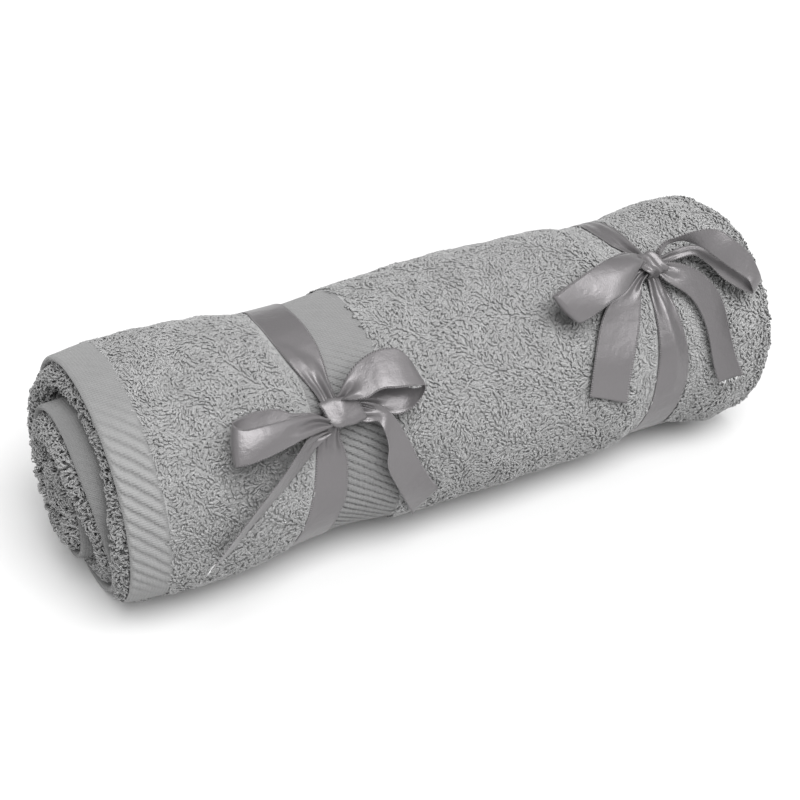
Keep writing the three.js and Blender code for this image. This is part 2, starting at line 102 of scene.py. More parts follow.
# Place along the roll, radius, share of the unevenness
PROFILE = (
    (-175, 53.6, 0.3), (-164, 54.0, 0.3), (-147, 55.4, 0.8), (-122, 56.0, 1.0),
    (-101, 55.0, 0.8), (-87, 52.8, 0.2), (-80, 51.4, 0.0), (-62, 51.2, 0.0), (-42, 52.6, 0.5),
    (-20, 54.2, 1.0), (15, 55.3, 1.0), (50, 54.0, 1.0), (76, 53.6, 0.6),
    (88, 51.2, 0.0), (111, 51.0, 0.0), (124, 53.6, 0.8), (136, 55.3, 1.0),
    (150, 53.6, 0.6), (165, 52.0, 0.3),
)

# Angle, spread and share of the gaps between the first turns at the hemmed end
GAPES = ((112, 24, 0.26), (-8, 26, 0.30))
GAPED_WINDING = 400.0
GAPE_FROM, GAPE_TO = -150.0, -118.0

# How far the shaggy fold stands out past the hem: behind on the first turn, and on the inner ones
FOLD_PUSH_ANGLE, FOLD_PUSH_SPREAD, FOLD_PUSH = 178.0, 62.0, 8.0
FRONT_PUSH_ANGLE, FRONT_PUSH_SPREAD, FRONT_PUSH = -8.0, 36.0, 4.5
INNER_PUSH = 3.5

# Angle, place along the roll and half width of each ribbon's band
LEFT_BAND = (
    (40, -69, 3.4), (48, -69, 4.0), (55, -69.5, 5.4), (63, -70.2, 7.2), (72, -70.6, 8.4),
    (84, -70.9, 8.9), (98, -70.9, 8.8), (118, -69, 8.2), (140, -69.5, 8.8), (185, -73, 9.5),
    (250, -78, 9.5),
    (320, -79.3, 9.3), (338, -77.6, 8.5), (350, -75.4, 8.4), (362, -74, 8.0), (375, -72.6, 7.2),
    (385, -72.3, 5.2), (395, -70, 3.6),
)
RIGHT_BAND = (
    (66, 99.5, 2.6), (76, 100, 3.4), (84, 98.9, 5.1), (95, 98.5, 5.8), (106, 99.2, 5.4),
    (118, 100.8, 4.8), (135, 101.4, 4.8), (158, 100, 7), (190, 97.6, 9.2), (250, 98, 9.5),
    (320, 98.6, 9.2), (332, 99, 8.8),
    (350, 100.1, 8.6), (365, 101.1, 8.7), (378, 101.8, 8.0), (390, 101.9, 6.8), (401, 102, 5.6),
    (411, 101.6, 4.1), (420, 100.6, 2.8),
)

# The band presses the loops down, so it lies lower than their tops
BAND_LIFT, EDGE_LIFT = -0.3, -0.6

# A fold along each band: angles, its place across the band from the left, its reach and height
LEFT_FOLD = (
    (40, 55, 66, 80, 82, 372, 388, 400), (0.6, 0.5, 0.3, 0.05, 0.6, 0.6, 0.5, 0.5),
    (0.45, 0.5, 0.4, 0.1, 0.3, 0.3, 0.25, 0.25), (1.8, 2.6, 1.8, 0, 0, 0, 1.6, 1.8),
)
RIGHT_FOLD = (
    (66, 80, 98, 112, 350, 364, 381, 398, 426), (0.6, 0.6, 0.6, 0.6, 0.6, 0.56, 0.46, 0.36, 0.5),
    (0.3, 0.3, 0.3, 0.3, 0.5, 0.5, 0.5, 0.34, 0.3), (1.0, 1.6, 1.0, 0, 0, 1.6, 4.2, 3.4, 1.6),
)

# Each strip's two edges by place along the roll, angle and lift off the terry
LEFT_STRIPS = {
    "left_loop": (
        (-74.3, 38.5, 6, -72.1, 33.4, 7), (-80.3, 39.9, 6, -78.9, 31.8, 7.5),
        (-87.1, 41.3, 6, -86.7, 30.9, 8), (-93.6, 44.7, 6, -95.9, 30.2, 8.5),
        (-101.7, 45.8, 6.5, -106.5, 29.4, 9.5), (-108.9, 45.4, 7.5, -114.3, 29.7, 10.5),
        (-114.4, 44.4, 10, -119.7, 29.8, 12), (-116.5, 43.4, 13.5, -120.5, 29.7, 13.5),
        (-116.6, 41.9, 16.5, -120, 29.7, 15.5), (-113.4, 40.2, 18, -115.4, 29.6, 17),
        (-106.1, 39.9, 19, -107.4, 30, 17.5), (-98.7, 39.7, 18.5, -97.8, 31, 17),
        (-90.4, 39.6, 17, -88.9, 31.9, 15.5), (-81.4, 39.1, 14, -80.4, 32.1, 13),
        (-75, 35.7, 10, -74.2, 32.1, 10),
    ),
    "right_loop": (
        (-69.1, 42.6, 9, -66.4, 40.6, 10), (-67, 43.6, 11, -65.3, 40.2, 14.5),
        (-64.1, 47.2, 14, -62, 39.5, 17), (-59.9, 50.4, 16, -58.5, 39.1, 19),
        (-54.6, 52.6, 17, -54.8, 40.1, 20), (-49.3, 53.5, 18, -51, 40.3, 21),
        (-43.7, 53.4, 18, -46.8, 39.5, 21.5), (-38.9, 51.8, 18, -42.5, 39, 21.3),
        (-35.5, 47.9, 17, -37.8, 38.5, 20.3), (-33.2, 43.5, 15, -34.4, 38.1, 19),
        (-30.9, 38.9, 12, -32.6, 37.5, 17), (-30.5, 37.3, 9, -32.6, 35.5, 14.5),
        (-33.9, 37.5, 7.5, -35, 32.7, 12), (-39.4, 40.2, 6.5, -39.2, 30.2, 10),
        (-46.1, 42.1, 6, -44.5, 29.8, 9), (-53, 41.9, 6, -50.3, 32.4, 8.5),
        (-60.3, 41, 6.5, -56.2, 35.9, 9), (-65.3, 40.2, 7, -62.3, 38.8, 9.5),
    ),
    "left_tail": (
        (-76.2, 31.4, 8, -73.6, 29.7, 8), (-81.2, 31.8, 10, -76.6, 28.2, 7),
        (-87, 30.6, 12, -81, 25.7, 6), (-92.7, 27.4, 13, -86.1, 21.7, 5),
        (-98.5, 23.6, 13, -91.8, 17.4, 4), (-106.5, 18.7, 13, -98.6, 12.4, 3),
        (-114.3, 13.4, 12.5, -106.8, 6.4, 2.5), (-121.7, 7.6, 12, -114.5, 0.3, 2.5),
        (-128.6, 0.9, 11, -121.3, -6.7, 2.5), (-135.2, -8.5, 9, -126.3, -11.7, 2.5),
    ),
    "right_tail": (
        (-64.6, 33.1, 7, -62.5, 39.5, 8), (-60.6, 31, 7, -57.9, 38.7, 9),
        (-56.6, 29.6, 7.5, -54, 37.1, 10), (-53.3, 29.2, 9, -50.3, 34.7, 11),
        (-52.3, 26.5, 11, -46.7, 30.6, 10), (-51.5, 21.8, 11.5, -43.8, 26, 8),
        (-51, 17, 10, -40.9, 20.4, 6), (-51.3, 10.9, 8, -37.4, 12.9, 4),
        (-49.5, 4.3, 6, -34.3, 5, 3), (-45.4, -4.6, 4, -30.4, -3.1, 2.5),
        (-40.1, -16.4, 3, -27.1, -9.5, 2.5), (-31.6, -34.8, 2.5, -23.6, -15.5, 2.5),
    ),
}
RIGHT_STRIPS = {
    "left_loop": (
        (94.7, 66.5, 8, 93.9, 58.3, 7), (89.2, 69.1, 9, 88.3, 57.3, 6), (80, 67, 9, 79.8, 52.1, 6),
        (68.3, 63.8, 10, 70.5, 49.2, 7), (55.7, 60.3, 12, 59.8, 46, 9),
        (43.8, 56.8, 14, 51.1, 44, 10), (38.8, 55.4, 16, 49.1, 43.8, 10.5),
        (38.8, 54.4, 17.5, 49.8, 43.4, 11), (48.8, 57.1, 19, 56.1, 44.6, 13.5),
        (59.7, 59.7, 20, 64.4, 47.1, 17.6), (70.5, 62, 19, 73.3, 49.4, 17.5),
        (80.6, 64, 16, 82.2, 53.8, 14), (89.9, 65.7, 12, 88.9, 58.6, 11),
        (95.2, 64.2, 9, 93.3, 59.5, 9),
    ),
    "right_loop": (
        (103.1, 62.8, 8, 102.1, 60.4, 8), (102.5, 63.2, 13, 104.9, 62.8, 10),
        (105.1, 64.2, 17, 108.6, 65.3, 12), (109.9, 63.7, 20, 115.8, 64.7, 13),
        (116, 63.1, 22, 118.9, 61.7, 14), (123.1, 61.8, 22.5, 121.3, 58.4, 15),
        (128.9, 59.8, 21.5, 124.9, 53.9, 14), (133, 56.2, 20, 129.7, 49.2, 12),
        (137.7, 52.7, 18, 133.6, 45.1, 12), (141.8, 47.8, 16, 137.1, 41.8, 12),
        (145, 41.7, 13, 138.4, 39.1, 12), (146, 40.1, 10, 139.9, 35.9, 10),
        (143.8, 43.2, 7, 138, 36.9, 8.5), (139, 48.6, 6, 132.7, 40.5, 8),
        (134.1, 54.6, 5.5, 128.1, 45.6, 8), (130, 60.1, 5, 125, 52, 8),
        (124.2, 64.2, 5, 120.8, 58.3, 8), (115.9, 65.2, 5, 113.2, 59.6, 8),
        (105.1, 63.2, 6, 103.9, 59.6, 7),
    ),
    "left_tail": (
        (93.7, 59.5, 8, 96.2, 56.8, 8), (88.5, 57.7, 7, 91.1, 53.7, 7.5),
        (79.1, 52.8, 4.5, 88.7, 49, 5.5), (71.2, 48.7, 3.5, 87, 43.3, 4),
        (65.7, 43.1, 2.8, 84.4, 36.1, 3), (60.6, 35, 2.5, 80.5, 28.3, 2.5),
        (56.6, 26.8, 2.5, 76.4, 19.9, 2.5), (53.5, 18.4, 2.5, 73.5, 11.1, 2.5),
        (51.6, 10.8, 2.5, 72, 1, 2.5),
    ),
    "right_tail": (
        (98.2, 58.5, 7, 99.2, 60.3, 8), (100.9, 56.3, 6.5, 104.2, 59.4, 9),
        (103.4, 51.9, 6, 109.2, 57.8, 10), (107.7, 48.1, 5, 114.4, 54.8, 10.5),
        (112.5, 43.8, 4, 118.6, 50.1, 10.5), (115.6, 37.3, 3.5, 121.9, 44.4, 10),
        (117.5, 29.1, 3, 124, 37.6, 9.5), (118.5, 20.7, 2.8, 124.7, 29.7, 9),
        (119.4, 12.9, 2.5, 125.4, 21.8, 8.5), (121, 4.6, 2.5, 127.6, 12.3, 8),
        (124.2, -4.2, 2.5, 132.6, 1.6, 7.5),
    ),
}

# Knots: place, angle, lift, half width along the roll, half height, half depth, crumpling
LEFT_KNOT = (-67.0, 36.8, 8, 8.2, 6.4, 4.4, 0.15)
RIGHT_KNOT = (98.2, 60.6, 7.3, 6.1, 5.5, 4.5, 0.6)


def smooth(value, low, high):
    """Smooth step from 0 at low to 1 at high."""
    t = np.clip((np.asarray(value, float) - low) / (high - low), 0, 1)
    return t * t * (3 - 2 * t)


def table_value(table, place, column):
    """A column's value at a place along the first column, without overshoot."""
    rows = np.array(table, float)
    key, value = rows[:, 0], rows[:, column]
    step = np.diff(value) / np.diff(key)
    turns = step[:-1] * step[1:]
    slope = np.zeros(len(key))
    slope[1:-1] = np.where(turns > 0, 2 * turns / np.where(turns > 0, step[:-1] + step[1:], 1), 0)
    place = np.asarray(place, float)
    row = np.clip(np.searchsorted(key, place, side="right") - 1, 0, len(key) - 2)
    span = key[row + 1] - key[row]
    t = np.clip((place - key[row]) / span, 0, 1)
    return (
        (2 * t**3 - 3 * t**2 + 1) * value[row]
        + (t**3 - 2 * t**2 + t) * span * slope[row]
        + (3 * t**2 - 2 * t**3) * value[row + 1]
        + (t**3 - t**2) * span * slope[row + 1]
    )


def form_radius(x, angle):
    """Radius of the roll's form at a place, with its unevenness."""
    turn = np.radians(angle)
    uneven = sum(s * np.sin(n * turn + x / length + p) for n, length, p, s in LUMP_WAVES)
    return table_value(PROFILE, x, 1) + LUMP_HEIGHT * table_value(PROFILE, x, 2) * uneven


def wound_radius(x, winding):
    """Outer radius of the wound cloth, stepping in one turn where it passes under itself."""
    radius = form_radius(x, LOOSE_EDGE_ANGLE + winding)
    for turn in range(TURNS):
        start = STEP_FROM + 360 * turn
        radius = radius - TURN_PITCH * smooth(winding, start, start + STEP_LENGTH)
    rise = np.clip(1 - winding / NOSE_ANGLE, 0, 1)
    radius = radius - NOSE_DROP * (1 - np.sqrt(1 - rise * rise))
    return np.maximum(radius, EYE_RADIUS)


def roll_point(x, angle, radius, floor=0.0):
    """Point in the frame, in metres, of a place along the roll, an angle and a radius."""
    turn = np.radians(angle)
    x, turn, radius = np.broadcast_arrays(x, turn, radius)
    point = np.stack(
        (
            x + ROLL_ORIGIN[0],
            -np.cos(turn) * radius * WIDTH_RATIO + ROLL_ORIGIN[1],
            np.maximum(floor, AXIS_HEIGHT + np.sin(turn) * radius) + ROLL_ORIGIN[2],
        ),
        -1,
    )
    return point * MILLIMETRE


def waves(x, y, lengths, seed):
    """Smooth unevenness between about -1 and 1, from crossing waves of these lengths."""
    rng = np.random.default_rng(seed)
    total = 0
    for length in lengths:
        for _ in range(3):
            turn, phase = rng.uniform(0, 2 * math.pi, 2)
            total = total + np.sin(
                (x * math.cos(turn) + y * math.sin(turn)) * 2 * math.pi / length + phase
            )
    return total / (3 * len(lengths)) ** 0.5 / 1.3


# Faces of the folded cloth, followed once round its outline: place along the roll, depth,
# points up to the next row, and the finish of the stretch that starts here
GROUND, HEM, DOBBY = 0, 1, 2
OUTLINE = (
    (-164.0, 2.0, 1, HEM), (-163.7, 1.1, 1, HEM), (-163.0, 0.6, 1, HEM),
    (-162.0, 0.5, 9, HEM), (-147.4, 0.5, 1, HEM), (-147.0, 0.9, 1, GROUND),
    (-146.4, 1.2, 9, GROUND), (-77.0, 1.2, 1, GROUND), (-76.4, 1.25, 1, DOBBY),
    (-76.0, 1.3, 28, DOBBY), (-39.5, 1.3, 1, DOBBY), (-39.1, 1.25, 1, GROUND),
    (-38.6, 1.2, 20, GROUND), (148.0, 1.2, 0, GROUND),
    # the fold at the right end is an arc between these two rows
    (148.0, 10.7, 10, GROUND), (-152.0, 10.9, 1, GROUND), (-156.0, 11.1, 1, GROUND),
    (-156.0, 11.3, 1, GROUND), (-152.0, 11.5, 8, GROUND), (138.0, 11.7, 1, GROUND),
    (142.0, 12.6, 3, HEM), (156.4, 12.6, 1, HEM), (157.4, 13.2, 1, HEM), (157.7, 14.1, 1, HEM),
    (157.4, 15.0, 1, HEM), (156.4, 15.5, 3, HEM), (142.0, 15.5, 1, GROUND),
    (138.0, 16.6, 8, GROUND), (-152.0, 16.0, 0, GROUND),
    # the fold at the hemmed end is an arc between these two rows
    (-152.0, 6.6, 10, GROUND), (146.0, 6.5, 1, GROUND), (149.5, 6.4, 1, GROUND),
    (149.5, 6.2, 1, GROUND), (146.0, 6.1, 8, GROUND), (-146.0, 6.0, 1, GROUND),
    (-147.6, 3.6, 3, HEM), (-162.4, 3.5, 1, HEM), (-163.4, 3.0, 1, HEM),
)
FOLD_ARCS = {13: (10.0, 9), 28: (-9.6, 9)}


def folded_outline():
    """Outline of the folded cloth as places, depths and finishes, one for each column."""
    points = []
    for row, (x, depth, steps, finish) in enumerate(OUTLINE):
        next_x, next_depth = OUTLINE[(row + 1) % len(OUTLINE)][:2]
        if row in FOLD_ARCS:
            reach, count = FOLD_ARCS[row]
            for step in range(count):
                turn = math.pi * step / count
                middle, half = (depth + next_depth) / 2, (next_depth - depth) / 2
                out = abs(math.sin(turn)) ** 0.8
                points.append((x + reach * out, middle - half * math.cos(turn), finish))
            continue
        for step in range(steps):
            share = step / steps
            points.append((x + (next_x - x) * share, depth + (next_depth - depth) * share, finish))
    return np.array(points)


def rib_strength(x, winding):
    """Strength of the woven ribs: full on the front, faint behind and low on the hem."""
    # The woven finish scales its painted groove shade and crest light by this strength too
    front = smooth(np.cos(np.radians(LOOSE_EDGE_ANGLE + winding - 5)), 0.35, 0.95)
    front = front * (1 - 0.8 * smooth(winding, 200, 330))
    inside = (x > HEM_EDGE + 0.8) & (x < HEM_EDGE + HEM_WIDTH - 0.6)
    border = (x > DOBBY_FROM + 0.6) & (x < DOBBY_TO - 0.6)
    front = front * np.where(border, 1.0, smooth(winding, 16, 40))
    return np.where(inside | border, 0.08 + 0.92 * front, 0.0)


def rib_relief(x, winding, settings):
    """Height in millimetres of the ribs' shape over the flat weave, where they are strong."""
    hem = x < HEM_EDGE + HEM_WIDTH
    pitch = np.where(hem, HEM_PITCH, DOBBY_PITCH) / MILLIMETRE
    slant = np.where(hem, HEM_SLANT, DOBBY_SLANT)
    height = np.where(hem, settings.hem_rib_height, settings.dobby_rib_height) / MILLIMETRE
    run = np.radians(winding) * CLOTH_RADIUS + (x - HEM_EDGE) * slant + RIB_WANDER
    return height * (np.abs(np.sin(math.pi * run / pitch)) - RIB_SINK)


def cloth_point(x, depth, winding, settings, lifted=0.0, floor=0.5):
    """Point of the wound, folded cloth at a place, a depth below the pile and a winding angle."""
    x, depth, winding = np.broadcast_arrays(
        np.asarray(x, float), np.asarray(depth, float), np.asarray(winding, float)
    )
    length = FOLD_EDGE - HEM_EDGE
    reach = INNER_REACH * smooth(winding, REACH_FROM, REACH_TO)
    place = x - reach * np.clip((FOLD_EDGE - x) / length, 0, 1)
    angle = LOOSE_EDGE_ANGLE + winding
    push = FOLD_PUSH * np.exp(-(((angle - FOLD_PUSH_ANGLE) / FOLD_PUSH_SPREAD) ** 2))
    push = push + FRONT_PUSH * np.exp(-(((angle - FRONT_PUSH_ANGLE) / FRONT_PUSH_SPREAD) ** 2))
    push = push + (INNER_PUSH - push) * smooth(winding, 300, 420)
    place = place - push * smooth(depth, 4, 7) * (1 - smooth(x, -162, -130))
    open_share = sum(s * np.exp(-(((angle - a) / w) ** 2)) for a, w, s in GAPES)
    open_share = open_share * (winding < GAPED_WINDING) * (1 - smooth(x, GAPE_FROM, GAPE_TO))
    share = depth / TURN_PITCH
    share = share - open_share * np.maximum(0, share - 0.31) / 0.69
    outer = wound_radius(place, winding)
    inner = wound_radius(place, winding + 360)
    radius = outer + (inner - outer) * share + lifted
    on_top = depth < 3
    terry = (x > HEM_EDGE + HEM_WIDTH) & ((x < DOBBY_FROM) | (x > DOBBY_TO))
    free = smooth(table_value(PROFILE, x, 2), 0.1, 0.5)
    puff = 0.35 * free * waves(x, winding * 0.95, (13, 19, 27), 3) * (on_top & terry)
    return roll_point(place, angle, np.maximum(radius + puff, 0.4), floor)


def spiral_windings(step):
    """Winding angles of the cloth's rows, fine on the first turn and coarser inside."""
    return np.concatenate((np.arange(0, 366, step), np.linspace(371, 1080, 110)))


def grid_object(name, columns, rows):
    """A flat grid made into a mesh object, with each point's column and row."""
    mesh = bpy.data.meshes.new(name)
    bm = bmesh.new()
    bm.loops.layers.uv.new("cloth")
    bmesh.ops.create_grid(bm, x_segments=columns, y_segments=rows, size=1.0, calc_uvs=True)
    bm.to_mesh(mesh)
    bm.free()
    spots = np.empty(len(mesh.vertices) * 3)
    mesh.vertices.foreach_get("co", spots)
    spots = spots.reshape(-1, 3)
    column = np.rint((spots[:, 0] + 1) / 2 * columns).astype(int)
    row = np.rint((spots[:, 1] + 1) / 2 * rows).astype(int)
    piece = bpy.data.objects.new(name, mesh)
    bpy.context.scene.collection.objects.link(piece)
    return piece, column, row


def set_points(mesh, points):
    mesh.vertices.foreach_set("co", np.ascontiguousarray(points, float).ravel())
    mesh.update()


def set_cloth_map(mesh, across, along):
    """The piece's own map: metres across and along the flat cloth, for each point."""
    corners = np.empty(len(mesh.loops), int)
    mesh.loops.foreach_get("vertex_index", corners)
    flat = np.stack((across[corners], along[corners]), -1)
    mesh.uv_layers["cloth"].data.foreach_set("uv", flat.astype(np.float32).ravel())


def smooth_faces(mesh):
    mesh.polygons.foreach_set("use_smooth", [True] * len(mesh.polygons))
    mesh.update()


def require_closed(bm, name):
    """Stops the script where a piece isn't one or more closed shells."""
    open_edges = sum(1 for edge in bm.edges if len(edge.link_faces) != 2)
    if open_edges:
        raise RuntimeError(f"{name} has {open_edges} edges without two faces")


class Finish:
    """A procedural material under construction."""

    def __init__(self, name):
        self.material = bpy.data.materials.new(name)
        self.material.use_nodes = True
        self.tree = self.material.node_tree
        self.shader = self.tree.nodes["Principled BSDF"]

    def node(self, kind, settings=None, inputs=None):
        made = self.tree.nodes.new(kind)
        for key, value in (settings or {}).items():
            setattr(made, key, value)
        for key, value in (inputs or {}).items():
            if isinstance(value, bpy.types.NodeSocket):
                self.tree.links.new(value, made.inputs[key])
            else:
                made.inputs[key].default_value = value
        return made

    def link(self, source, socket):
        self.tree.links.new(source, self.shader.inputs[socket])

    def set(self, **values):
        for name, value in values.items():
            self.shader.inputs[name.replace("_", " ")].default_value = value

    def math(self, operation, first, second=0.0):
        made = self.node("ShaderNodeMath", {"operation": operation})
        for index, value in enumerate((first, second)):
            if isinstance(value, bpy.types.NodeSocket):
                self.tree.links.new(value, made.inputs[index])
            else:
                made.inputs[index].default_value = value
        return made.outputs[0]

    def noise(self, vector, scale, detail=2.0, roughness=0.5):
        made = self.node(
            "ShaderNodeTexNoise",
            inputs={"Vector": vector, "Scale": scale, "Detail": detail, "Roughness": roughness},
        )
        return made.outputs["Fac"]

    def blend(self, factor, dark, light):
        """Colour between two colours by a factor."""
        made = self.node("ShaderNodeMix", {"data_type": "RGBA"})
        self.tree.links.new(factor, made.inputs[0])
        for index, colour in ((6, dark), (7, light)):
            if isinstance(colour, bpy.types.NodeSocket):
                self.tree.links.new(colour, made.inputs[index])
            else:
                made.inputs[index].default_value = (*colour[:3], 1.0)
        return made.outputs[2]

    def stretch(self, value, low, high, to_low=0.0, to_high=1.0):
        made = self.node(
            "ShaderNodeMapRange",
            inputs={
                "Value": value, "From Min": low, "From Max": high,
                "To Min": to_low, "To Max": to_high,
            },
        )
        return made.outputs["Result"]

    def bump(self, height, distance, strength=1.0, before=None):
        made = self.node(
            "ShaderNodeBump",
            inputs={"Height": height, "Distance": distance, "Strength": strength},
        )
        if before is not None:
            self.tree.links.new(before, made.inputs["Normal"])
        return made.outputs["Normal"]

    def object_place(self):
        return self.node("ShaderNodeTexCoord").outputs["Object"]

    def cloth_map(self):
        """The flat cloth's own coordinates, and each of them alone."""
        flat = self.node("ShaderNodeUVMap", {"uv_map": "cloth"}).outputs["UV"]
        parts = self.node("ShaderNodeSeparateXYZ", inputs={"Vector": flat})
        return flat, parts.outputs["X"], parts.outputs["Y"]


def shade(colour, share):
    return tuple(channel * share for channel in colour[:3])


def pile_finish(colour):
    """Soft cotton loops, lit like the cloth they lie on, each a little different."""
    look = Finish("terry_pile_cotton")
    rise = look.node("ShaderNodeAttribute", {"attribute_name": "rise"}).outputs["Fac"]
    # The tone attribute holds each loop's random tone, lowered on the fold at the hemmed end as painted
    # shade
    tone = look.node("ShaderNodeAttribute", {"attribute_name": "tone"}).outputs["Fac"]
    patches = look.stretch(look.noise(look.object_place(), 90.0, 3.0), 0.3, 0.7, -0.12, 0.5)
    threads = look.noise(look.object_place(), 2600.0, 2.0)
    mixed = look.math("ADD", look.math("MULTIPLY", tone, 0.6), patches)
    body = look.blend(mixed, shade(colour, 0.85), shade(colour, 1.11))
    foot = look.blend(rise, shade(colour, 1.0), body)
    look.link(foot, "Base Color")
    out = look.node("ShaderNodeAttribute", {"attribute_name": "out"}).outputs["Vector"]
    own = look.node("ShaderNodeNewGeometry").outputs["Normal"]
    lit = look.node("ShaderNodeMix", {"data_type": "VECTOR"})
    lit.inputs[0].default_value = 0.6
    look.tree.links.new(own, lit.inputs[4])
    look.tree.links.new(out, lit.inputs[5])
    soft = look.node("ShaderNodeVectorMath", {"operation": "NORMALIZE"})
    look.tree.links.new(lit.outputs[1], soft.inputs[0])
    look.link(look.bump(threads, 0.00015, 0.5, soft.outputs["Vector"]), "Normal")
    look.set(Roughness=0.95, Sheen_Weight=0.2, Sheen_Roughness=0.6, Specular_IOR_Level=0.15)
    look.set(Subsurface_Weight=0.5, Subsurface_Radius=(1, 1, 1), Subsurface_Scale=0.0012)
    return look.material


def ground_finish(colour):
    """Woven ground under the pile, in curls of the towel's colour, on the whole a little lighter than the
    loops: painted light that lifts the shade in the gaps between them.
    """
    look = Finish("terry_ground_cotton")
    place = look.object_place()
    curls = look.noise(place, 900.0, 4.0, 0.65)
    look.link(look.blend(curls, shade(colour, 0.85), shade(colour, 1.3)), "Base Color")
    look.link(look.bump(curls, 0.0008), "Normal")
    look.set(Roughness=0.95, Sheen_Weight=0.2, Specular_IOR_Level=0.2)
    look.set(Subsurface_Weight=0.5, Subsurface_Radius=(1, 1, 1), Subsurface_Scale=0.0012)
    return look.material


def woven_finish(name, colour, pitch, slant, height, groove_shade_share, crest_paint_share):
    """Flat woven cotton: fine crossing threads, and slanting ribs where they show."""
    look = Finish(name)
    flat, across, along = look.cloth_map()
    wobble = look.noise(flat, 260.0, 3.0)
    bent = look.math("ADD", along, look.math("MULTIPLY", wobble, 0.0009))
    weft = look.math("SINE", look.math("MULTIPLY", bent, 2 * math.pi / 0.0011))
    warp = look.math("SINE", look.math("MULTIPLY", across, 2 * math.pi / 0.0013))
    grain = look.noise(flat, 2400.0, 2.0)
    threads = look.math("ADD", look.math("MULTIPLY", weft, 0.3), look.math("MULTIPLY", warp, 0.14))
    threads = look.math("ADD", threads, look.math("MULTIPLY", grain, 0.9))
    tone = look.stretch(threads, -0.1, 1.1)
    patches = look.noise(look.object_place(), 140.0, 3.0)
    body = look.blend(tone, shade(colour, 0.8), shade(colour, 1.06))
    worn = look.blend(patches, body, look.blend(tone, shade(colour, 0.96), shade(colour, 1.22)))
    strength = look.node("ShaderNodeAttribute", {"attribute_name": "ribs"}).outputs["Fac"]
    run = look.math("ADD", along, look.math("MULTIPLY", across, slant))
    wander = look.math("MULTIPLY", look.noise(flat, 170.0, 2.0), 0.0016)
    jagged = look.math("MULTIPLY", look.noise(flat, 900.0, 1.0), 0.0012)
    run = look.math("ADD", run, look.math("ADD", wander, jagged))
    cord = look.math("ABSOLUTE", look.math("SINE", look.math("MULTIPLY", run, math.pi / pitch)))
    rounded = look.math("POWER", cord, 0.8)
    bricks = look.math("SINE", look.math("MULTIPLY", look.math("ADD", across, wander), 2 * math.pi / 0.0026))
    broken = look.math("ADD", look.math("MULTIPLY", bricks, 0.22), 0.78)
    # Rib grooves are blended toward a dark share of the colour as painted shade, and rib crests toward
    # another share as painted light, a highlight on the hem; both follow the ribs attribute, full on the
    # front
    groove_shade = look.math("MULTIPLY", look.stretch(cord, 0.62, 0.0), strength)
    groove_shade = look.math("MULTIPLY", groove_shade, broken)
    crest = look.math("MULTIPLY", look.stretch(cord, 0.3, 1.0), look.math("MULTIPLY", strength, 0.7))
    painted_crests = look.blend(crest, worn, shade(colour, crest_paint_share))
    ribs = look.blend(groove_shade, painted_crests, shade(colour, groove_shade_share))
    # Inner turns are blended halfway toward a dark share of the colour: painted shade inside the roll
    inner = look.node("ShaderNodeAttribute", {"attribute_name": "inner"}).outputs["Fac"]
    look.link(look.blend(look.math("MULTIPLY", inner, 0.5), ribs, shade(colour, 0.55)), "Base Color")
    relief = look.math("MULTIPLY", look.math("ADD", rounded, look.math("MULTIPLY", bricks, 0.12)), strength)
    ribbed = look.bump(relief, height * RIB_BUMP_SHARE)
    look.link(look.bump(threads, 0.00026, 1.0, ribbed), "Normal")
    look.set(Roughness=0.88, Sheen_Weight=0.2, Sheen_Roughness=0.5, Specular_IOR_Level=0.25)
    return look.material


def satin_finish(name, colour, width):
    """Satin: smooth with broad highlights, fine lengthwise threads and firm woven edges."""
    look = Finish(name)
    flat, across, along = look.cloth_map()
    side = look.math("ABSOLUTE", look.math("SUBTRACT", look.math("DIVIDE", across, width), 0.5))
    edge = look.stretch(side, 0.455, 0.468)
    place = look.object_place()
    long_threads = look.node(
        "ShaderNodeMapping", inputs={"Vector": flat, "Scale": (5200.0, 260.0, 1.0)}
    ).outputs["Vector"]
    streaks = look.noise(long_threads, 1.0, 2.0)
    crinkles = look.noise(place, 240.0, 3.0)
    speckles = look.noise(place, 1900.0, 2.0)
    ripples = look.math("SINE", look.math("MULTIPLY", along, 2 * math.pi / 0.0011))
    body = look.blend(streaks, shade(colour, 0.92), shade(colour, 1.08))
    loose = look.stretch(side, 0.9, 1.0)
    woven = look.blend(edge, body, shade(colour, 1.35))
    look.link(look.blend(loose, woven, (0.85, 0.85, 0.85)), "Base Color")
    look.link(look.stretch(edge, 0, 1, 0.4, 0.6), "Roughness")
    normal = look.bump(look.math("MULTIPLY", ripples, edge), 0.0004, 0.9)
    normal = look.bump(streaks, 0.00004, 0.5, normal)
    normal = look.bump(speckles, 0.00016, 0.7, normal)
    look.link(look.bump(crinkles, 0.0008, 0.35, normal), "Normal")
    look.set(Metallic=0.45, Specular_IOR_Level=0.5, Sheen_Weight=0.1, Sheen_Roughness=0.35)
    look.set(Anisotropic=0.4)
    return look.material


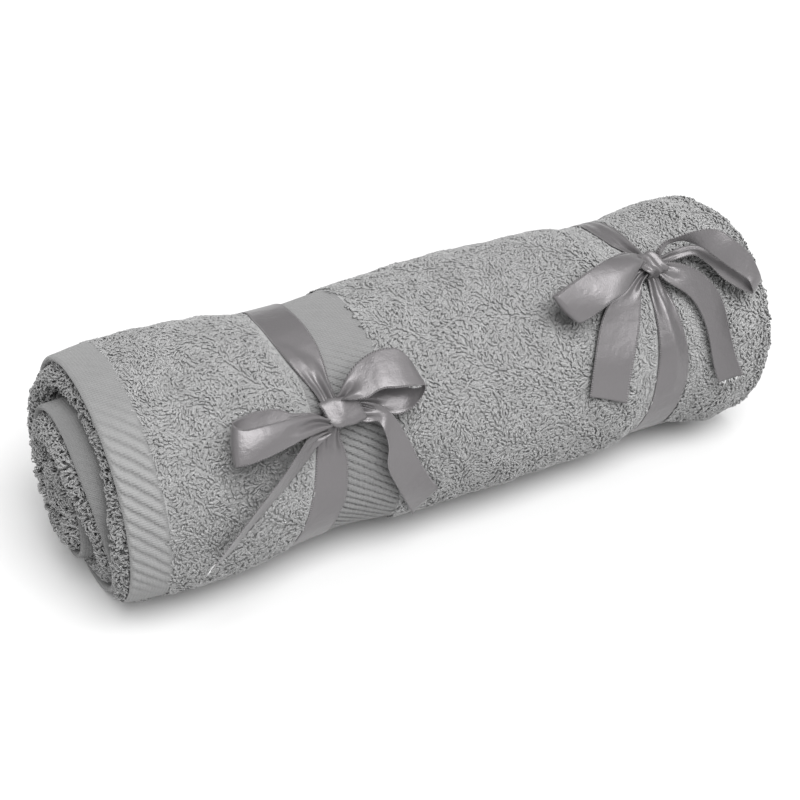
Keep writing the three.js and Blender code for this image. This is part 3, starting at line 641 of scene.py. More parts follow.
class TowelSettings(bpy.types.PropertyGroup):
    colour: FloatVectorProperty(
        name="Towel colour", description="Colour of the cotton loops", subtype="COLOR",
        size=3, min=0, max=1, default=(0.28, 0.28, 0.28),
    )
    woven_colour: FloatVectorProperty(
        name="Woven colour", description="Colour of the flat woven hem and border",
        subtype="COLOR", size=3, min=0, max=1, default=(0.2, 0.2, 0.2),
    )
    hem_rib_height: FloatProperty(
        name="Hem rib height", description="Height of the cords woven across the hem",
        unit="LENGTH", default=0.0007, precision=5,
    )
    dobby_rib_height: FloatProperty(
        name="Border rib height", description="Height of the cords woven across the flat border",
        unit="LENGTH", default=0.0009, precision=5,
    )
    loop_spacing: FloatProperty(
        name="Loop spacing", description="Distance between neighbouring pile loops",
        unit="LENGTH", default=0.00127, precision=5,
    )
    loop_length: FloatProperty(
        name="Loop length", description="Mean length of a lying pile loop",
        unit="LENGTH", default=0.0028, precision=5,
    )
    loop_height: FloatProperty(
        name="Loop height", description="Mean height of a pile loop over the ground",
        unit="LENGTH", default=0.00085, precision=5,
    )
    loop_thickness: FloatProperty(
        name="Loop thickness", description="Thickness of the yarn of a pile loop",
        unit="LENGTH", default=0.00115, precision=5,
    )
    seed: IntProperty(
        name="Seed", description="Arrangement of the pile loops", default=7, min=0,
    )


class RibbonSettings(bpy.types.PropertyGroup):
    colour: FloatVectorProperty(
        name="Ribbon colour", description="Colour of the satin", subtype="COLOR",
        size=3, min=0, max=1, default=(0.157, 0.15, 0.154),
    )
    width: FloatProperty(
        name="Ribbon width", description="Width of the flat ribbon",
        unit="LENGTH", default=0.0195, precision=4,
    )
    thickness: FloatProperty(
        name="Ribbon thickness", description="Thickness of the satin",
        unit="LENGTH", default=0.00035, precision=5,
    )
    pleat_depth: FloatProperty(
        name="Pleat depth", description="Deepest pleat where the ribbon is gathered",
        unit="LENGTH", default=0.0014, precision=4,
    )
    length: FloatProperty(
        name="Ribbon length", description="Length of each ribbon when it is cut",
        unit="LENGTH", default=0.72, precision=3,
    )


class StageSettings(bpy.types.PropertyGroup):
    azimuth: FloatProperty(
        name="Camera angle", description="Angle of the camera round the towel",
        subtype="ANGLE", default=math.radians(-29.97),
    )
    elevation: FloatProperty(
        name="Camera height", description="Angle of the camera above the floor",
        subtype="ANGLE", default=math.radians(34.29),
    )
    tilt: FloatProperty(
        name="Camera tilt", description="Turn of the camera about its own line of sight",
        subtype="ANGLE", default=math.radians(1.6),
    )
    distance: FloatProperty(
        name="Camera distance", description="Distance of the camera from the towel",
        unit="LENGTH", default=0.7806,
    )
    lens: FloatProperty(
        name="Lens", description="Focal length in millimetres on a 36 mm sensor", default=76.49,
    )
    floor_colour: FloatVectorProperty(
        name="Floor colour", description="Colour of the plain floor", subtype="COLOR",
        size=3, min=0, max=1, default=(0.66, 0.66, 0.66),
    )
    sky: FloatProperty(
        name="Surrounding light", description="Strength of the even light all round", default=0.66,
    )
    low_sky: FloatProperty(
        name="Low light", description="Share of the surrounding light near the horizon",
        default=0.6,
    )
    left_share: FloatProperty(
        name="Light from the left", description="How much brighter the surroundings are on the left",
        default=0.25,
    )
    key: FloatProperty(
        name="Key light", description="Strength of the broad light from above", default=4.2,
    )
    side: FloatProperty(
        name="Side light", description="Strength of the small light that the satin reflects",
        default=0.35,
    )


def finish_piece(piece, node, finishes):
    """Materials, and the frame's part and body that the piece belongs to."""
    for finish in finishes:
        piece.data.materials.append(finish)
    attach(piece, "root")
    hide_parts(node)


class TOWEL_OT_cloth(bpy.types.Operator):
    """Make the folded and rolled cloth with its hem and flat woven border"""

    bl_idname = "rolled_towel.cloth"
    bl_label = "Rolled cloth"

    def execute(self, context):
        settings = context.scene.towel_settings
        outline = folded_outline()
        windings = spiral_windings(1.2)
        columns, rows = len(outline), len(windings) - 1
        piece, column, row = grid_object("towel_cloth", columns, rows)
        mesh = piece.data
        ring = np.vstack((outline, outline[:1]))
        x, depth = ring[column, 0], ring[column, 1]
        winding = windings[row]
        low = np.where(depth < 1, 0.05, 0.5)
        ribs = rib_strength(x, winding) * (depth < 3)
        relief = rib_relief(x, winding, settings) * ribs
        set_points(mesh, cloth_point(x, depth, winding, settings, lifted=relief, floor=low))
        across = (x - HEM_EDGE) * MILLIMETRE
        along = np.radians(winding) * CLOTH_RADIUS * MILLIMETRE
        set_cloth_map(mesh, across, along)
        # Share of painted shade on the woven hem and border of the inner turns, inside the roll
        inner = smooth(winding, 320, 400)
        for key, value in (("ribs", ribs), ("inner", inner)):
            layer = mesh.attributes.new(key, "FLOAT", "POINT")
            layer.data.foreach_set("value", value.astype(np.float32))
        finishes = ring[:-1, 2].astype(int)
        corner = np.empty(len(mesh.loops), int)
        mesh.loops.foreach_get("vertex_index", corner)
        first = column[corner.reshape(-1, 4)].min(1)
        last = column[corner.reshape(-1, 4)].max(1)
        chosen = finishes[np.where(last - first > 1, columns - 1, first) % columns]
        mesh.polygons.foreach_set("material_index", chosen)
        bm = bmesh.new()
        bm.from_mesh(mesh)
        bmesh.ops.remove_doubles(bm, verts=bm.verts, dist=1e-7)
        ends = [edge for edge in bm.edges if edge.is_boundary]
        bmesh.ops.holes_fill(bm, edges=ends, sides=0)
        bmesh.ops.recalc_face_normals(bm, faces=bm.faces)
        require_closed(bm, "towel_cloth")
        bm.to_mesh(mesh)
        bm.free()
        smooth_faces(mesh)
        finish_piece(piece, "towel_roll", (
            ground_finish(settings.colour),
            # The last two numbers of each woven finish are the shares of its colour painted as shade in the
            # rib grooves and as light on the rib crests
            woven_finish("hem_cotton", settings.woven_colour, HEM_PITCH, HEM_SLANT,
                         settings.hem_rib_height, 0.8, 1.4),
            woven_finish("border_cotton", settings.woven_colour, DOBBY_PITCH, DOBBY_SLANT,
                         settings.dobby_rib_height, 0.36, 0.94),
        ))
        return {"FINISHED"}


def band_gap(x, angle, table):
    """Distance along the roll from a ribbon band's nearer edge, less than 0 under the band."""
    start = table[0][0]
    place = start + np.mod(angle - start, 360)
    middle = table_value(table, place, 1)
    half = table_value(table, place, 2)
    return np.abs(x - middle) - half, np.sign(x - middle)


def outline_spots(first, last, spacing, winding_to, rng):
    """Jittered places, depths and windings over a stretch of the outline."""
    outline = folded_outline()[first:last + 1]
    steps = np.hypot(np.diff(outline[:, 0]), np.diff(outline[:, 1]))
    along = np.concatenate(([0], np.cumsum(steps)))
    windings = np.linspace(0, winding_to, 600)
    radii = wound_radius(0.0, windings)
    turned = np.concatenate(([0], np.cumsum((radii[1:] + radii[:-1]) / 2 * np.diff(np.radians(windings)))))
    count_s = max(2, int(round(along[-1] / spacing)))
    count_w = int(round(turned[-1] / spacing))
    grid_s, grid_w = np.meshgrid(np.arange(count_s), np.arange(count_w), indexing="ij")
    s = (grid_s.ravel() + rng.uniform(-0.1, 1.1, grid_s.size)) / count_s * along[-1]
    w = (grid_w.ravel() + rng.uniform(-0.1, 1.1, grid_s.size)) / count_w * turned[-1]
    s, w = np.clip(s, 0, along[-1]), np.clip(w, 0, turned[-1])
    return (
        np.interp(s, along, outline[:, 0]),
        np.interp(s, along, outline[:, 1]),
        np.interp(w, turned, windings),
    )


def outline_row(index):
    """Column of an OUTLINE row in the finished outline."""
    count = 0
    for row in range(index):
        count += FOLD_ARCS[row][1] if row in FOLD_ARCS else OUTLINE[row][2]
    return count


def loop_mesh(name, rings, poles, tone, out, finish):
    """Mesh of many closed spindles: two rings of three points and two end points each."""
    count = len(poles)
    points = np.concatenate((poles[:, :1], rings.reshape(count, 6, 3), poles[:, 1:]), 1)
    faces = []
    for side in range(3):
        other = (side + 1) % 3
        faces.append(((0, 0, side), (1 + side, 1, side), (1 + other, 1, side + 1)))
        faces.append((
            (1 + side, 1, side), (4 + side, 2, side), (4 + other, 2, side + 1),
            (1 + other, 1, side + 1),
        ))
        faces.append(((7, 3, side), (4 + other, 2, side + 1), (4 + side, 2, side)))
    corners = [corner for face in faces for corner in face]
    sizes = [len(face) for face in faces]
    index = np.array([corner[0] for corner in corners])
    mesh = bpy.data.meshes.new(name)
    mesh.vertices.add(count * 8)
    mesh.vertices.foreach_set("co", points.ravel())
    mesh.loops.add(count * len(index))
    all_corners = (index[None, :] + 8 * np.arange(count)[:, None]).ravel()
    mesh.loops.foreach_set("vertex_index", all_corners.astype(np.int32))
    starts = np.concatenate(([0], np.cumsum(sizes)[:-1]))
    mesh.polygons.add(count * len(sizes))
    mesh.polygons.foreach_set(
        "loop_start",
        (starts[None, :] + len(index) * np.arange(count)[:, None]).ravel().astype(np.int32),
    )
    mesh.update(calc_edges=True)
    rise = np.tile([0.0] + [1.0] * 6 + [0.0], count)
    for key, value in (("rise", rise), ("tone", np.repeat(tone, 8))):
        layer = mesh.attributes.new(key, "FLOAT", "POINT")
        layer.data.foreach_set("value", value.astype(np.float32))
    layer = mesh.attributes.new("out", "FLOAT_VECTOR", "POINT")
    layer.data.foreach_set("vector", np.repeat(out, 8, 0).astype(np.float32).ravel())
    cells = math.ceil(math.sqrt(count))
    cell = np.arange(count)
    corner = np.stack((cell % cells, cell // cells), -1)[:, None, :]
    inside = np.array([(station / 3, side / 3) for _, station, side in corners])
    flat = (corner + 0.06 + 0.88 * inside[None]) / cells
    layer = mesh.uv_layers.new(name="OFBake")
    layer.data.foreach_set("uv", flat.astype(np.float32).ravel())
    smooth_faces(mesh)
    piece = bpy.data.objects.new(name, mesh)
    bpy.context.scene.collection.objects.link(piece)
    finish_piece(piece, "towel_roll", (finish,))
    return piece


class TOWEL_OT_pile(bpy.types.Operator):
    """Cover the terry with lying cotton loops, outside and on the folds at both ends"""

    bl_idname = "rolled_towel.pile"
    bl_label = "Terry pile"

    def execute(self, context):
        settings = context.scene.towel_settings
        rng = np.random.default_rng(settings.seed)
        spacing = settings.loop_spacing / MILLIMETRE
        wide = spacing * 1.12
        areas = [
            ("pile_left", outline_row(6), outline_row(7), spacing, 360, 1),
            ("pile_right", outline_row(12), outline_row(13), spacing, 360, 3),
            ("pile_fold_right", outline_row(13), outline_row(14) - 2, wide, 1060, 1),
            ("pile_fold_left", outline_row(28), outline_row(29), wide, 1060, 1),
        ]
        finish = pile_finish(settings.colour)
        graph = context.evaluated_depsgraph_get()
        self.ribbons = [
            BVHTree.FromObject(piece, graph) for piece in context.scene.objects
            if piece.name.endswith("_satin")
        ]
        for name, first, last, gap, winding_to, parts in areas:
            x, depth, winding = outline_spots(first, last, gap, winding_to, rng)
            angle = LOOSE_EDGE_ANGLE + winding
            keep = np.ones(len(x), bool)
            if winding_to == 360:
                for table in (LEFT_BAND, RIGHT_BAND):
                    keep &= band_gap(x, angle, table)[0] > 0.3
                low = np.cos(np.radians(angle + 90))
                keep &= (low < 0.9) | (rng.uniform(size=len(x)) < 0.6)
            x, depth, winding = x[keep], depth[keep], winding[keep]
            loops = self.loops(x, depth, winding, settings, rng)
            order = np.argsort(x, kind="stable")
            for part, chosen in enumerate(np.array_split(order, parts)):
                label = name if parts == 1 else f"{name}_{part + 1}"
                loop_mesh(label, *(values[chosen] for values in loops), finish)
        cloth = bpy.data.objects.get("towel_cloth")
        if cloth is None:
            raise RuntimeError("the rolled cloth has to be made before its pile")
        return {"FINISHED"}

    def headroom(self, feet, out):
        """Distance from each foot to the ribbon above it, or a large one where there is none."""
        room = np.full(len(feet), 1.0)
        for tree in self.ribbons:
            for index, (foot, direction) in enumerate(zip(feet, out)):
                distance = tree.ray_cast(Vector(foot), Vector(direction), 0.006)[3]
                if distance is not None:
                    room[index] = min(room[index], distance)
        return room

    def loops(self, x, depth, winding, settings, rng):
        """Rings and end points of a lying loop at each spot."""
        count = len(x)
        step = 0.2

        def at(dx, dw):
            return cloth_point(x + dx, depth, winding + dw, settings)

        foot = at(0, 0)
        arc = depth > GROUND_DEPTH + 0.05
        outline = folded_outline()
        spin = at(0, step) - at(0, -step)
        spin /= np.linalg.norm(spin, axis=1)[:, None] + 1e-12
        flat = cloth_point(x, depth, winding, settings)
        lower = cloth_point(x, depth + step, winding, settings)
        radial = flat - lower
        radial /= np.linalg.norm(radial, axis=1)[:, None] + 1e-12
        side = at(step, 0) - at(-step, 0)
        side /= np.linalg.norm(side, axis=1)[:, None] + 1e-12
        out = np.cross(side, spin)
        out *= np.sign(np.sum(out * radial, 1))[:, None]
        lean = np.zeros(count)
        for row, (reach, _) in FOLD_ARCS.items():
            base_x, top = OUTLINE[row][:2]
            bottom = OUTLINE[row + 1][1]
            middle, half = (top + bottom) / 2, (bottom - top) / 2
            on_arc = arc & ((x - base_x) * np.sign(reach) > 0)
            rise = np.clip((middle - depth) / half, -1, 1) * 1.0
            tilt = np.arctan2((x - base_x) / abs(reach), np.abs(rise) + 1e-3)
            lean = np.where(on_arc, tilt, lean)
            out = np.where((on_arc & (rise * np.sign(half) < 0))[:, None] & (half != 0), -out, out)
        flip = np.where(out @ np.array([1.0, 0, 0]) > 0, 1, 1)
        out = np.cos(lean)[:, None] * out * flip[:, None] + np.sin(lean)[:, None] * side
        along = np.cross(spin, out)
        along /= np.linalg.norm(along, axis=1)[:, None] + 1e-12
        swirl = waves(x, winding * 0.95, (24, 38), 11) * 2.6
        heading = swirl + rng.normal(0, 0.5, count) - 1.2
        length = settings.loop_length * rng.uniform(0.7, 1.3, count)
        height = settings.loop_height * rng.uniform(0.75, 1.2, count)
        height *= 1 + 0.15 * waves(x, winding * 0.95, (5, 8), 17)
        height = height * (1 - 0.25 * smooth(LOOSE_EDGE_ANGLE + winding, 30, 100) * ~arc)
        height = height * np.where(arc, np.where(x < 0, 4.0, 1.4), 1.0)
        ahead = np.cos(heading)[:, None] * spin + np.sin(heading)[:, None] * along
        reach_x = (ahead * length[:, None])[:, 0] / MILLIMETRE
        angle = LOOSE_EDGE_ANGLE + winding
        for table in (LEFT_BAND, RIGHT_BAND):
            tip_gap, _ = band_gap(x + reach_x, angle, table)
            own_gap, own_side = band_gap(x, angle, table)
            crossing = ~arc & ((tip_gap < 0.5) | (own_gap < 3)) & (np.sign(reach_x) != own_side)
            ahead[crossing, 0] *= -1
            reach_x = (ahead * length[:, None])[:, 0] / MILLIMETRE
        beside = np.cross(out, ahead)
        bow = rng.normal(0, 0.22, count) * length
        tips = foot + ahead * (0.7 * length)[:, None]
        room = np.minimum(self.headroom(foot, out), self.headroom(tips, out))
        height = np.minimum(height, np.maximum(room - 0.0011, 0.0004))
        wide = settings.loop_thickness / 2 * rng.uniform(0.8, 1.2, count)
        thick = wide * 0.5
        lines = ((-0.05, -0.3, 0.0), (0.26, 0.85, 0.8), (0.74, 0.9, 0.8), (1.0, -0.2, -0.2))
        stations = [
            foot
            + ahead * (length * forward)[:, None]
            + out * (height * up)[:, None]
            + beside * (bow * sideways)[:, None]
            for forward, up, sideways in lines
        ]
        rings = np.empty((count, 2, 3, 3))
        turn0 = rng.uniform(0, 2 * math.pi, count)
        for ring in range(2):
            tangent = stations[ring + 2] - stations[ring]
            tangent /= np.linalg.norm(tangent, axis=1)[:, None]
            lateral = np.cross(tangent, out)
            lateral /= np.linalg.norm(lateral, axis=1)[:, None] + 1e-12
            above = np.cross(lateral, tangent)
            for corner in range(3):
                turn = turn0 + 2 * math.pi * corner / 3
                rings[:, ring, corner] = (
                    stations[ring + 1]
                    + (wide * np.cos(turn))[:, None] * lateral
                    + (thick * np.sin(turn))[:, None] * above
                )
        poles = np.stack((stations[0], stations[3]), 1)
        floor = 0.1 * MILLIMETRE
        rings[..., 2] = np.maximum(rings[..., 2], floor)
        poles[..., 2] = np.maximum(poles[..., 2], 2 * floor)
        # Each loop's tone varies at random, and on the fold at the hemmed end it is lowered as painted shade
        # inside the roll's end
        tone = np.clip(rng.normal(0.5, 0.22, count) - 0.2 * (arc & (x < 0)), 0, 1)
        return rings, poles, tone, out


def through(points, places):
    """Smooth curve through rows of points, read at places from 0 to 1."""
    points = np.asarray(points, float)
    count = len(points) - 1
    padded = np.vstack((2 * points[0] - points[1], points, 2 * points[-1] - points[-2]))
    where = np.clip(np.asarray(places) * count, 0, count - 1e-9)
    row = where.astype(int)
    t = (where - row)[:, None]
    before, here, after, later = (padded[row + shift] for shift in range(4))
    return 0.5 * (
        2 * here + (after - before) * t + (2 * before - 5 * here + 4 * after - later) * t**2
        + (3 * here - before - 3 * after + later) * t**3
    )


def even_places(points, count):
    """Places from 0 to 1 that divide a curve into even lengths."""
    fine = np.linspace(0, 1, 400)
    line = through(points, fine)
    length = np.concatenate(([0], np.cumsum(np.linalg.norm(np.diff(line, axis=0), axis=1))))
    return np.interp(np.linspace(0, length[-1], count), length, fine), length[-1]


def ribbon_cross_rows(edge_a, edge_b, settings, folds, phase, crown, gather):
    """Rows of points across a ribbon between two edges, pleated where it is gathered."""
    columns = 16
    v = np.linspace(0, 1, columns + 1)
    chord_line = edge_b - edge_a
    chord = np.linalg.norm(chord_line, axis=1)
    middle = (edge_a + edge_b) / 2
    along = np.gradient(middle, axis=0)
    normal = np.cross(chord_line, along)
    normal /= np.linalg.norm(normal, axis=1)[:, None] + 1e-12
    spare = np.clip(settings.width / np.maximum(chord, 1e-6) - 1, 0, 3)
    depth = chord / (math.pi * folds) * np.sqrt(spare) * 0.9
    depth = np.minimum(depth, settings.pleat_depth) * smooth(spare, 0.15, 0.9) * gather
    wave = np.sin(2 * math.pi * folds * v[None, :] + phase[:, None])
    ends = np.sin(math.pi * np.clip(v, 0, 1)) ** 0.4
    lift = depth[:, None] * wave * ends[None, :] + crown[:, None] * (4 * v * (1 - v))[None, :]
    rows = edge_a[:, None, :] + chord_line[:, None, :] * v[None, :, None]
    return rows + normal[:, None, :] * lift[:, :, None], v, normal


def ribbon_sheet(name, rows, settings, closed=False):
    """Thin closed sheet through rows of points across the ribbon."""
    count, across = rows.shape[0], rows.shape[1]
    piece, column, row = grid_object(name, across - 1, count - 1)
    mesh = piece.data
    set_points(mesh, rows[row, column])
    middle = rows[:, across // 2]
    run = np.concatenate(([0], np.cumsum(np.linalg.norm(np.diff(middle, axis=0), axis=1))))
    set_cloth_map(mesh, column / (across - 1) * settings.width, run[row])
    bm = bmesh.new()
    bm.from_mesh(mesh)
    if closed:
        bmesh.ops.remove_doubles(bm, verts=bm.verts, dist=1e-7)
    bmesh.ops.recalc_face_normals(bm, faces=bm.faces)
    bmesh.ops.solidify(bm, geom=bm.faces[:], thickness=settings.thickness)
    bmesh.ops.recalc_face_normals(bm, faces=bm.faces)
    require_closed(bm, name)
    bm.to_mesh(mesh)
    bm.free()
    smooth_faces(mesh)
    return piece


def joined(name, pieces):
    """One object made of several, under a new name."""
    bm = bmesh.new()
    for piece in pieces:
        bm.from_mesh(piece.data)
    mesh = bpy.data.meshes.new(name)
    bm.to_mesh(mesh)
    bm.free()
    for piece in pieces:
        old = piece.data
        bpy.data.objects.remove(piece)
        bpy.data.meshes.remove(old)
    smooth_faces(mesh)
    whole = bpy.data.objects.new(name, mesh)
    bpy.context.scene.collection.objects.link(whole)
    return whole


# Loose threads at the cut ends of the left bow's left tail and the right bow's right one
FRAYED_TAILS = {12: 26, 23: 34}
THREAD_RADIUS = 0.00026

# Folds across each strip where it is gathered, and its crown in the middle
STRIP_FOLDS = {
    "left_loop": (1.5, 0.0014), "right_loop": (1.5, 0.0005),
    "left_tail": (1.5, 0.0008), "right_tail": (2.0, 0.0007),
}
# The swell of the upper ply of the right bow's left loop: its place, reach and height
SWELL = (0.86, 0.1, 0.0036)


class TOWEL_OT_ribbons(bpy.types.Operator):
    """Tie the two satin ribbons round the towel, each with its band, knot, loops and tails"""

    bl_idname = "rolled_towel.ribbons"
    bl_label = "Satin ribbons"

    def execute(self, context):
        settings = context.scene.ribbon_settings
        sets = (
            ("ribbon_left", LEFT_BAND, LEFT_FOLD, LEFT_STRIPS, LEFT_KNOT, 1),
            ("ribbon_right", RIGHT_BAND, RIGHT_FOLD, RIGHT_STRIPS, RIGHT_KNOT, 2),
        )
        for name, band, fold, strips, knot, seed in sets:
            pieces = [self.band(band, fold, settings, seed)]
            for index, (label, table) in enumerate(strips.items()):
                pieces += self.strip(label, table, settings, seed * 10 + index)
            pieces.append(self.knot(knot, settings, seed))
            ribbon = joined(name + "_satin", pieces)
            finish_piece(ribbon, name,
                         (satin_finish(name + "_satin", settings.colour, settings.width),))
        return {"FINISHED"}

    def band(self, table, fold, settings, seed):
        """The ribbon's run round the roll, gathered where it meets the knot."""
        start, end = table[0][0], table[-1][0]
        angle = np.linspace(start, start + 360, 220)
        x = table_value(table, angle, 1)
        half = table_value(table, angle, 2)
        radius = form_radius(x, angle) + BAND_LIFT
        towards = smooth(np.minimum(angle - start, end - angle), 0, 14)
        radius = radius + 3.5 * (1 - towards)
        edge_a, edge_b = (
            roll_point(place, angle, np.maximum(radius, form_radius(place, angle) + EDGE_LIFT), 0.15)
            for place in (x + half, x - half)
        )
        ripple = 0.35 * waves(angle * 0.9, x * 0, (17, 29), seed + 40) * MILLIMETRE
        phase = 0.6 + 0.02 * (angle - start)
        gather = 0.25 + 0.75 * (1 - smooth(np.minimum(angle - start, start + 360 - angle), 8, 30))
        rows, v, _ = ribbon_cross_rows(edge_a, edge_b, settings, 2.0, phase, np.abs(ripple), gather)
        out = roll_point(x, angle, radius + 1) - roll_point(x, angle, radius)
        crest, reach, height = (np.interp(angle, fold[0], fold[row])[:, None] for row in (1, 2, 3))
        from_left = 1 - v[None, :]
        ridge = np.clip(1 - np.abs(from_left - crest) / reach, 0, 1) * height
        rows = rows + out[:, None, :] * ridge[:, :, None]
        rows[..., 2] = np.maximum(rows[..., 2], 0.3 * MILLIMETRE)
        return ribbon_sheet("band", rows, settings)

    def strip(self, label, table, settings, seed):
        """A loop or tail through its table's edges."""
        values = np.array(table, float)
        ends = []
        for x, angle, lift in (values[:, :3].T, values[:, 3:].T):
            ends.append(roll_point(x, angle, form_radius(x, angle) + lift, 0.4))
        middle = (ends[0] + ends[1]) / 2
        places, length = even_places(middle, 2)
        count = max(20, int(length / 0.0012))
        places, length = even_places(middle, count)
        edge_a, edge_b = through(ends[0], places), through(ends[1], places)
        folds, crown = STRIP_FOLDS[label]
        rng = np.random.default_rng(seed)
        run = places * length / MILLIMETRE
        phase = rng.uniform(0, 6) + 0.5 * waves(run, run * 0, (31, 47), seed)
        bend = crown * (0.6 + 0.5 * waves(run, run * 0, (23, 37), seed + 5))
        if label == "left_loop" and seed >= 20:
            bend = bend + SWELL[2] * np.exp(-(((run / run[-1] - SWELL[0]) / SWELL[1]) ** 2))
        to_knot = np.minimum(run, run[-1] - run) if label.endswith("loop") else run
        gather = 1 - smooth(to_knot, 5, 24)
        rows, _, _ = ribbon_cross_rows(edge_a, edge_b, settings, folds, phase, bend, gather)
        sheet = ribbon_sheet(label, rows, settings)
        return [sheet, self.fray(rows, settings, seed)] if seed in FRAYED_TAILS else [sheet]

    def fray(self, rows, settings, seed):
        """Loose threads at the cut end of a tail, each a thin closed spike."""
        rng = np.random.default_rng(seed)
        end, ahead = rows[-1], rows[-1] - rows[-3]
        across = (end[-1] - end[0]) / np.linalg.norm(end[-1] - end[0])
        ahead = ahead[len(end) // 2] / np.linalg.norm(ahead[len(end) // 2])
        above = np.cross(across, ahead)
        bm = bmesh.new()
        for _ in range(FRAYED_TAILS[seed]):
            place = rng.uniform(0.02, 0.98) * (len(end) - 1)
            low = int(place)
            foot = end[low] + (end[low + 1] - end[low]) * (place - low) - ahead * 0.0006
            lean = ahead + across * rng.normal(0, 0.55) + above * rng.normal(0, 0.25)
            tip = foot + lean * rng.uniform(0.0014, 0.0038)
            base = [
                bm.verts.new(foot + (across * math.cos(turn) + above * math.sin(turn)) * THREAD_RADIUS)
                for turn in (0, 2.1, 4.2)
            ]
            top = bm.verts.new(tip)
            bm.faces.new(base)
            for index in range(3):
                bm.faces.new((base[index], base[index - 1], top))
        bmesh.ops.recalc_face_normals(bm, faces=bm.faces)
        mesh = bpy.data.meshes.new("fray")
        bm.to_mesh(mesh)
        bm.free()
        mesh.uv_layers.new(name="cloth")
        beside = np.full(len(mesh.vertices), -settings.width)
        set_cloth_map(mesh, beside, beside)
        piece = bpy.data.objects.new("fray", mesh)
        bpy.context.scene.collection.objects.link(piece)
        return piece

    def knot(self, shape, settings, seed):
        """The short wrap that holds the bow: a pleated ring round its middle."""
        x, angle, lift, along, high, deep, crumple = shape
        centre = roll_point(x, angle, form_radius(x, angle) + lift)
        turn = math.radians(angle)
        lengthwise = np.array([1.0, 0, 0])
        upward = np.array([0, math.sin(turn), math.cos(turn)])
        outward = np.array([0, -math.cos(turn), math.sin(turn)])
        count = 56
        spin = np.linspace(0, 2 * math.pi, count + 1)
        v = np.linspace(0, 1, 19)
        boxy = 0.5
        over = np.sign(np.cos(spin)) * np.abs(np.cos(spin)) ** boxy
        around = np.sign(np.sin(spin)) * np.abs(np.sin(spin)) ** boxy
        rows = np.empty((count + 1, len(v), 3))
        for index, share in enumerate(v):
            pleat = crumple * np.sin(2 * math.pi * 2.2 * share + 1.4 * np.sin(spin) + seed)
            from_crest = share - 0.42 - 0.24 * np.sin(spin)
            crease = 4.6 * np.minimum(from_crest, 0) - 1.7 * np.maximum(from_crest, 0)
            round_off = 1 - 0.12 * abs(2 * share - 1) ** 3
            skew = -2.2 * np.sin(spin)
            half = along * (0.8 + 0.2 * np.cos(spin))
            rows[:, index] = (
                centre
                + lengthwise * ((2 * share - 1) * half + skew)[:, None] * MILLIMETRE
                + outward * (over * (deep * round_off + pleat + crease))[:, None] * MILLIMETRE
                + upward * (around * (high * round_off + pleat))[:, None] * MILLIMETRE
            )
        rows[-1] = rows[0]
        return ribbon_sheet("knot", rows, settings, closed=True)


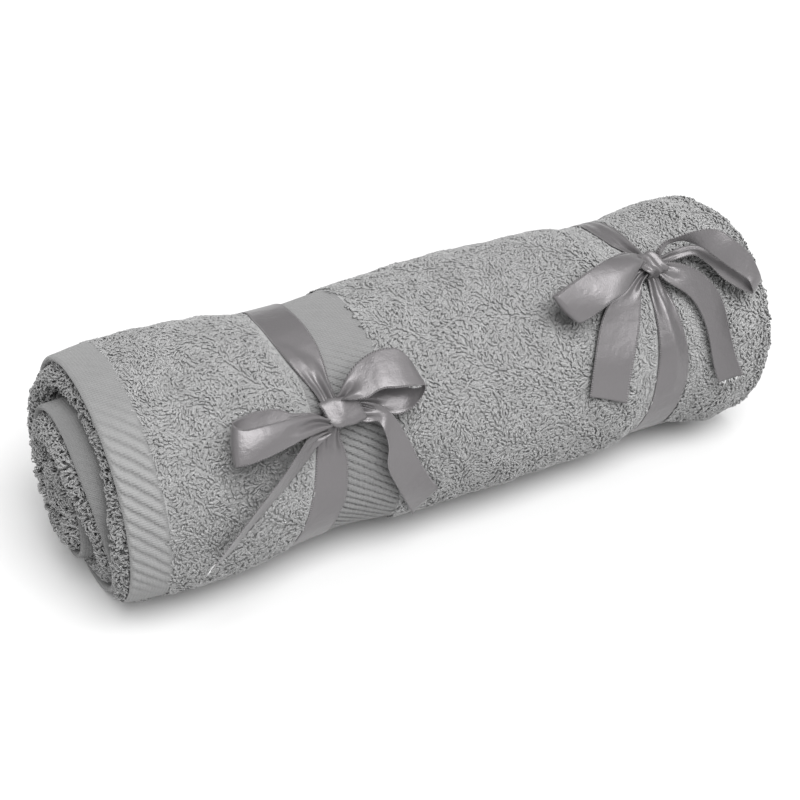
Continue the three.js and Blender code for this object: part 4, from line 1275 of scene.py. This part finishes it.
class TOWEL_OT_stage(bpy.types.Operator):
    """Set the pale floor, the soft studio light and the camera"""

    bl_idname = "rolled_towel.stage"
    bl_label = "Studio stage"

    def execute(self, context):
        settings = context.scene.stage_settings
        scene = context.scene
        mesh = bpy.data.meshes.new("floor")
        bm = bmesh.new()
        bmesh.ops.create_circle(bm, cap_ends=True, segments=96, radius=30.0)
        bm.to_mesh(mesh)
        bm.free()
        floor = bpy.data.objects.new("floor", mesh)
        scene.collection.objects.link(floor)
        look = Finish("pale_floor")
        look.shader.inputs["Base Color"].default_value = (*settings.floor_colour, 1.0)
        look.set(Roughness=0.9, Specular_IOR_Level=0.1)
        mesh.materials.append(look.material)

        world = bpy.data.worlds.new("studio")
        world.use_nodes = True
        self.surroundings(world.node_tree, settings)
        scene.world = world
        self.light("key", (-0.04, -0.66, 0.95), 44, settings.key)
        self.light("side", (0.8, -0.35, 0.45), 24, settings.side)

        a, e = settings.azimuth, settings.elevation
        back = Vector((math.sin(a) * math.cos(e), -math.cos(a) * math.cos(e), math.sin(e)))
        right = Vector((math.cos(a), math.sin(a), 0))
        up = back.cross(right)
        origin = Vector(ROLL_ORIGIN) * MILLIMETRE
        middle = origin + Vector((0, 0, 0.05))
        camera_data = bpy.data.cameras.new("camera")
        camera_data.lens = settings.lens
        camera_data.sensor_width = 36.0
        camera_data.clip_start, camera_data.clip_end = 0.01, 50.0
        camera = bpy.data.objects.new("camera", camera_data)
        scene.collection.objects.link(camera)
        camera.location = middle + back * settings.distance
        tilt = Matrix.Rotation(settings.tilt, 3, back)
        right, up = tilt @ right, tilt @ up
        aim = middle - right * 0.01092 - up * 0.00594
        level = Matrix((right, up, back)).transposed()
        turn = back.rotation_difference(camera.location - aim)
        camera.rotation_euler = (turn.to_matrix() @ level).to_euler()
        scene.camera = camera
        scene.view_settings.view_transform = "Standard"
        return {"FINISHED"}

    def surroundings(self, tree, settings):
        """Even light from above, dimmer near the horizon."""
        background = tree.nodes["Background"]
        background.inputs["Strength"].default_value = settings.sky
        place = tree.nodes.new("ShaderNodeTexCoord").outputs["Generated"]
        parts = tree.nodes.new("ShaderNodeSeparateXYZ")
        ramp = tree.nodes.new("ShaderNodeValToRGB")
        tree.links.new(place, parts.inputs[0])
        from_left = tree.nodes.new("ShaderNodeMath")
        from_left.operation = "MULTIPLY_ADD"
        from_left.inputs[1].default_value = -settings.left_share
        tree.links.new(parts.outputs["X"], from_left.inputs[0])
        tree.links.new(parts.outputs["Z"], from_left.inputs[2])
        tree.links.new(from_left.outputs[0], ramp.inputs["Fac"])
        tree.links.new(ramp.outputs["Color"], background.inputs["Color"])
        stops = ramp.color_ramp.elements
        stops[0].position, stops[0].color = 0.1, (*[settings.low_sky] * 3, 1)
        stops[1].position, stops[1].color = 0.7, (1, 1, 1, 1)

    def light(self, name, place, spread, power):
        """Broad even light that falls on the whole stage from the side of a place."""
        data = bpy.data.lights.new(name, "SUN")
        data.angle, data.energy = math.radians(spread), power
        lamp = bpy.data.objects.new(name, data)
        bpy.context.scene.collection.objects.link(lamp)
        lamp.location = place
        lamp.rotation_euler = Vector(place).to_track_quat("Z", "Y").to_euler()


class TOWEL_PT_panel(bpy.types.Panel):
    bl_label = "Rolled hand towel"
    bl_idname = "TOWEL_PT_panel"
    bl_space_type = "VIEW_3D"
    bl_region_type = "UI"
    bl_category = "Towel"

    def draw(self, context):
        scene = context.scene
        groups = (
            (scene.towel_settings, ("rolled_towel.cloth", "rolled_towel.pile")),
            (scene.ribbon_settings, ("rolled_towel.ribbons",)),
            (scene.stage_settings, ("rolled_towel.stage",)),
        )
        for settings, operators in groups:
            box = self.layout.box()
            for name in settings.bl_rna.properties.keys():
                if name not in ("rna_type", "name"):
                    box.prop(settings, name)
            for operator in operators:
                box.operator(operator)


CLASSES = (
    TowelSettings, RibbonSettings, StageSettings,
    TOWEL_OT_cloth, TOWEL_OT_pile, TOWEL_OT_ribbons, TOWEL_OT_stage, TOWEL_PT_panel,
)


def register():
    for cls in CLASSES:
        bpy.utils.register_class(cls)
    bpy.types.Scene.towel_settings = PointerProperty(type=TowelSettings)
    bpy.types.Scene.ribbon_settings = PointerProperty(type=RibbonSettings)
    bpy.types.Scene.stage_settings = PointerProperty(type=StageSettings)


def unregister():
    del bpy.types.Scene.stage_settings
    del bpy.types.Scene.ribbon_settings
    del bpy.types.Scene.towel_settings
    for cls in reversed(CLASSES):
        bpy.utils.unregister_class(cls)


def main():
    register()
    bpy.ops.rolled_towel.cloth()
    bpy.ops.rolled_towel.ribbons()
    bpy.ops.rolled_towel.pile()
    bpy.ops.rolled_towel.stage()


if __name__ == "__main__":
    main()
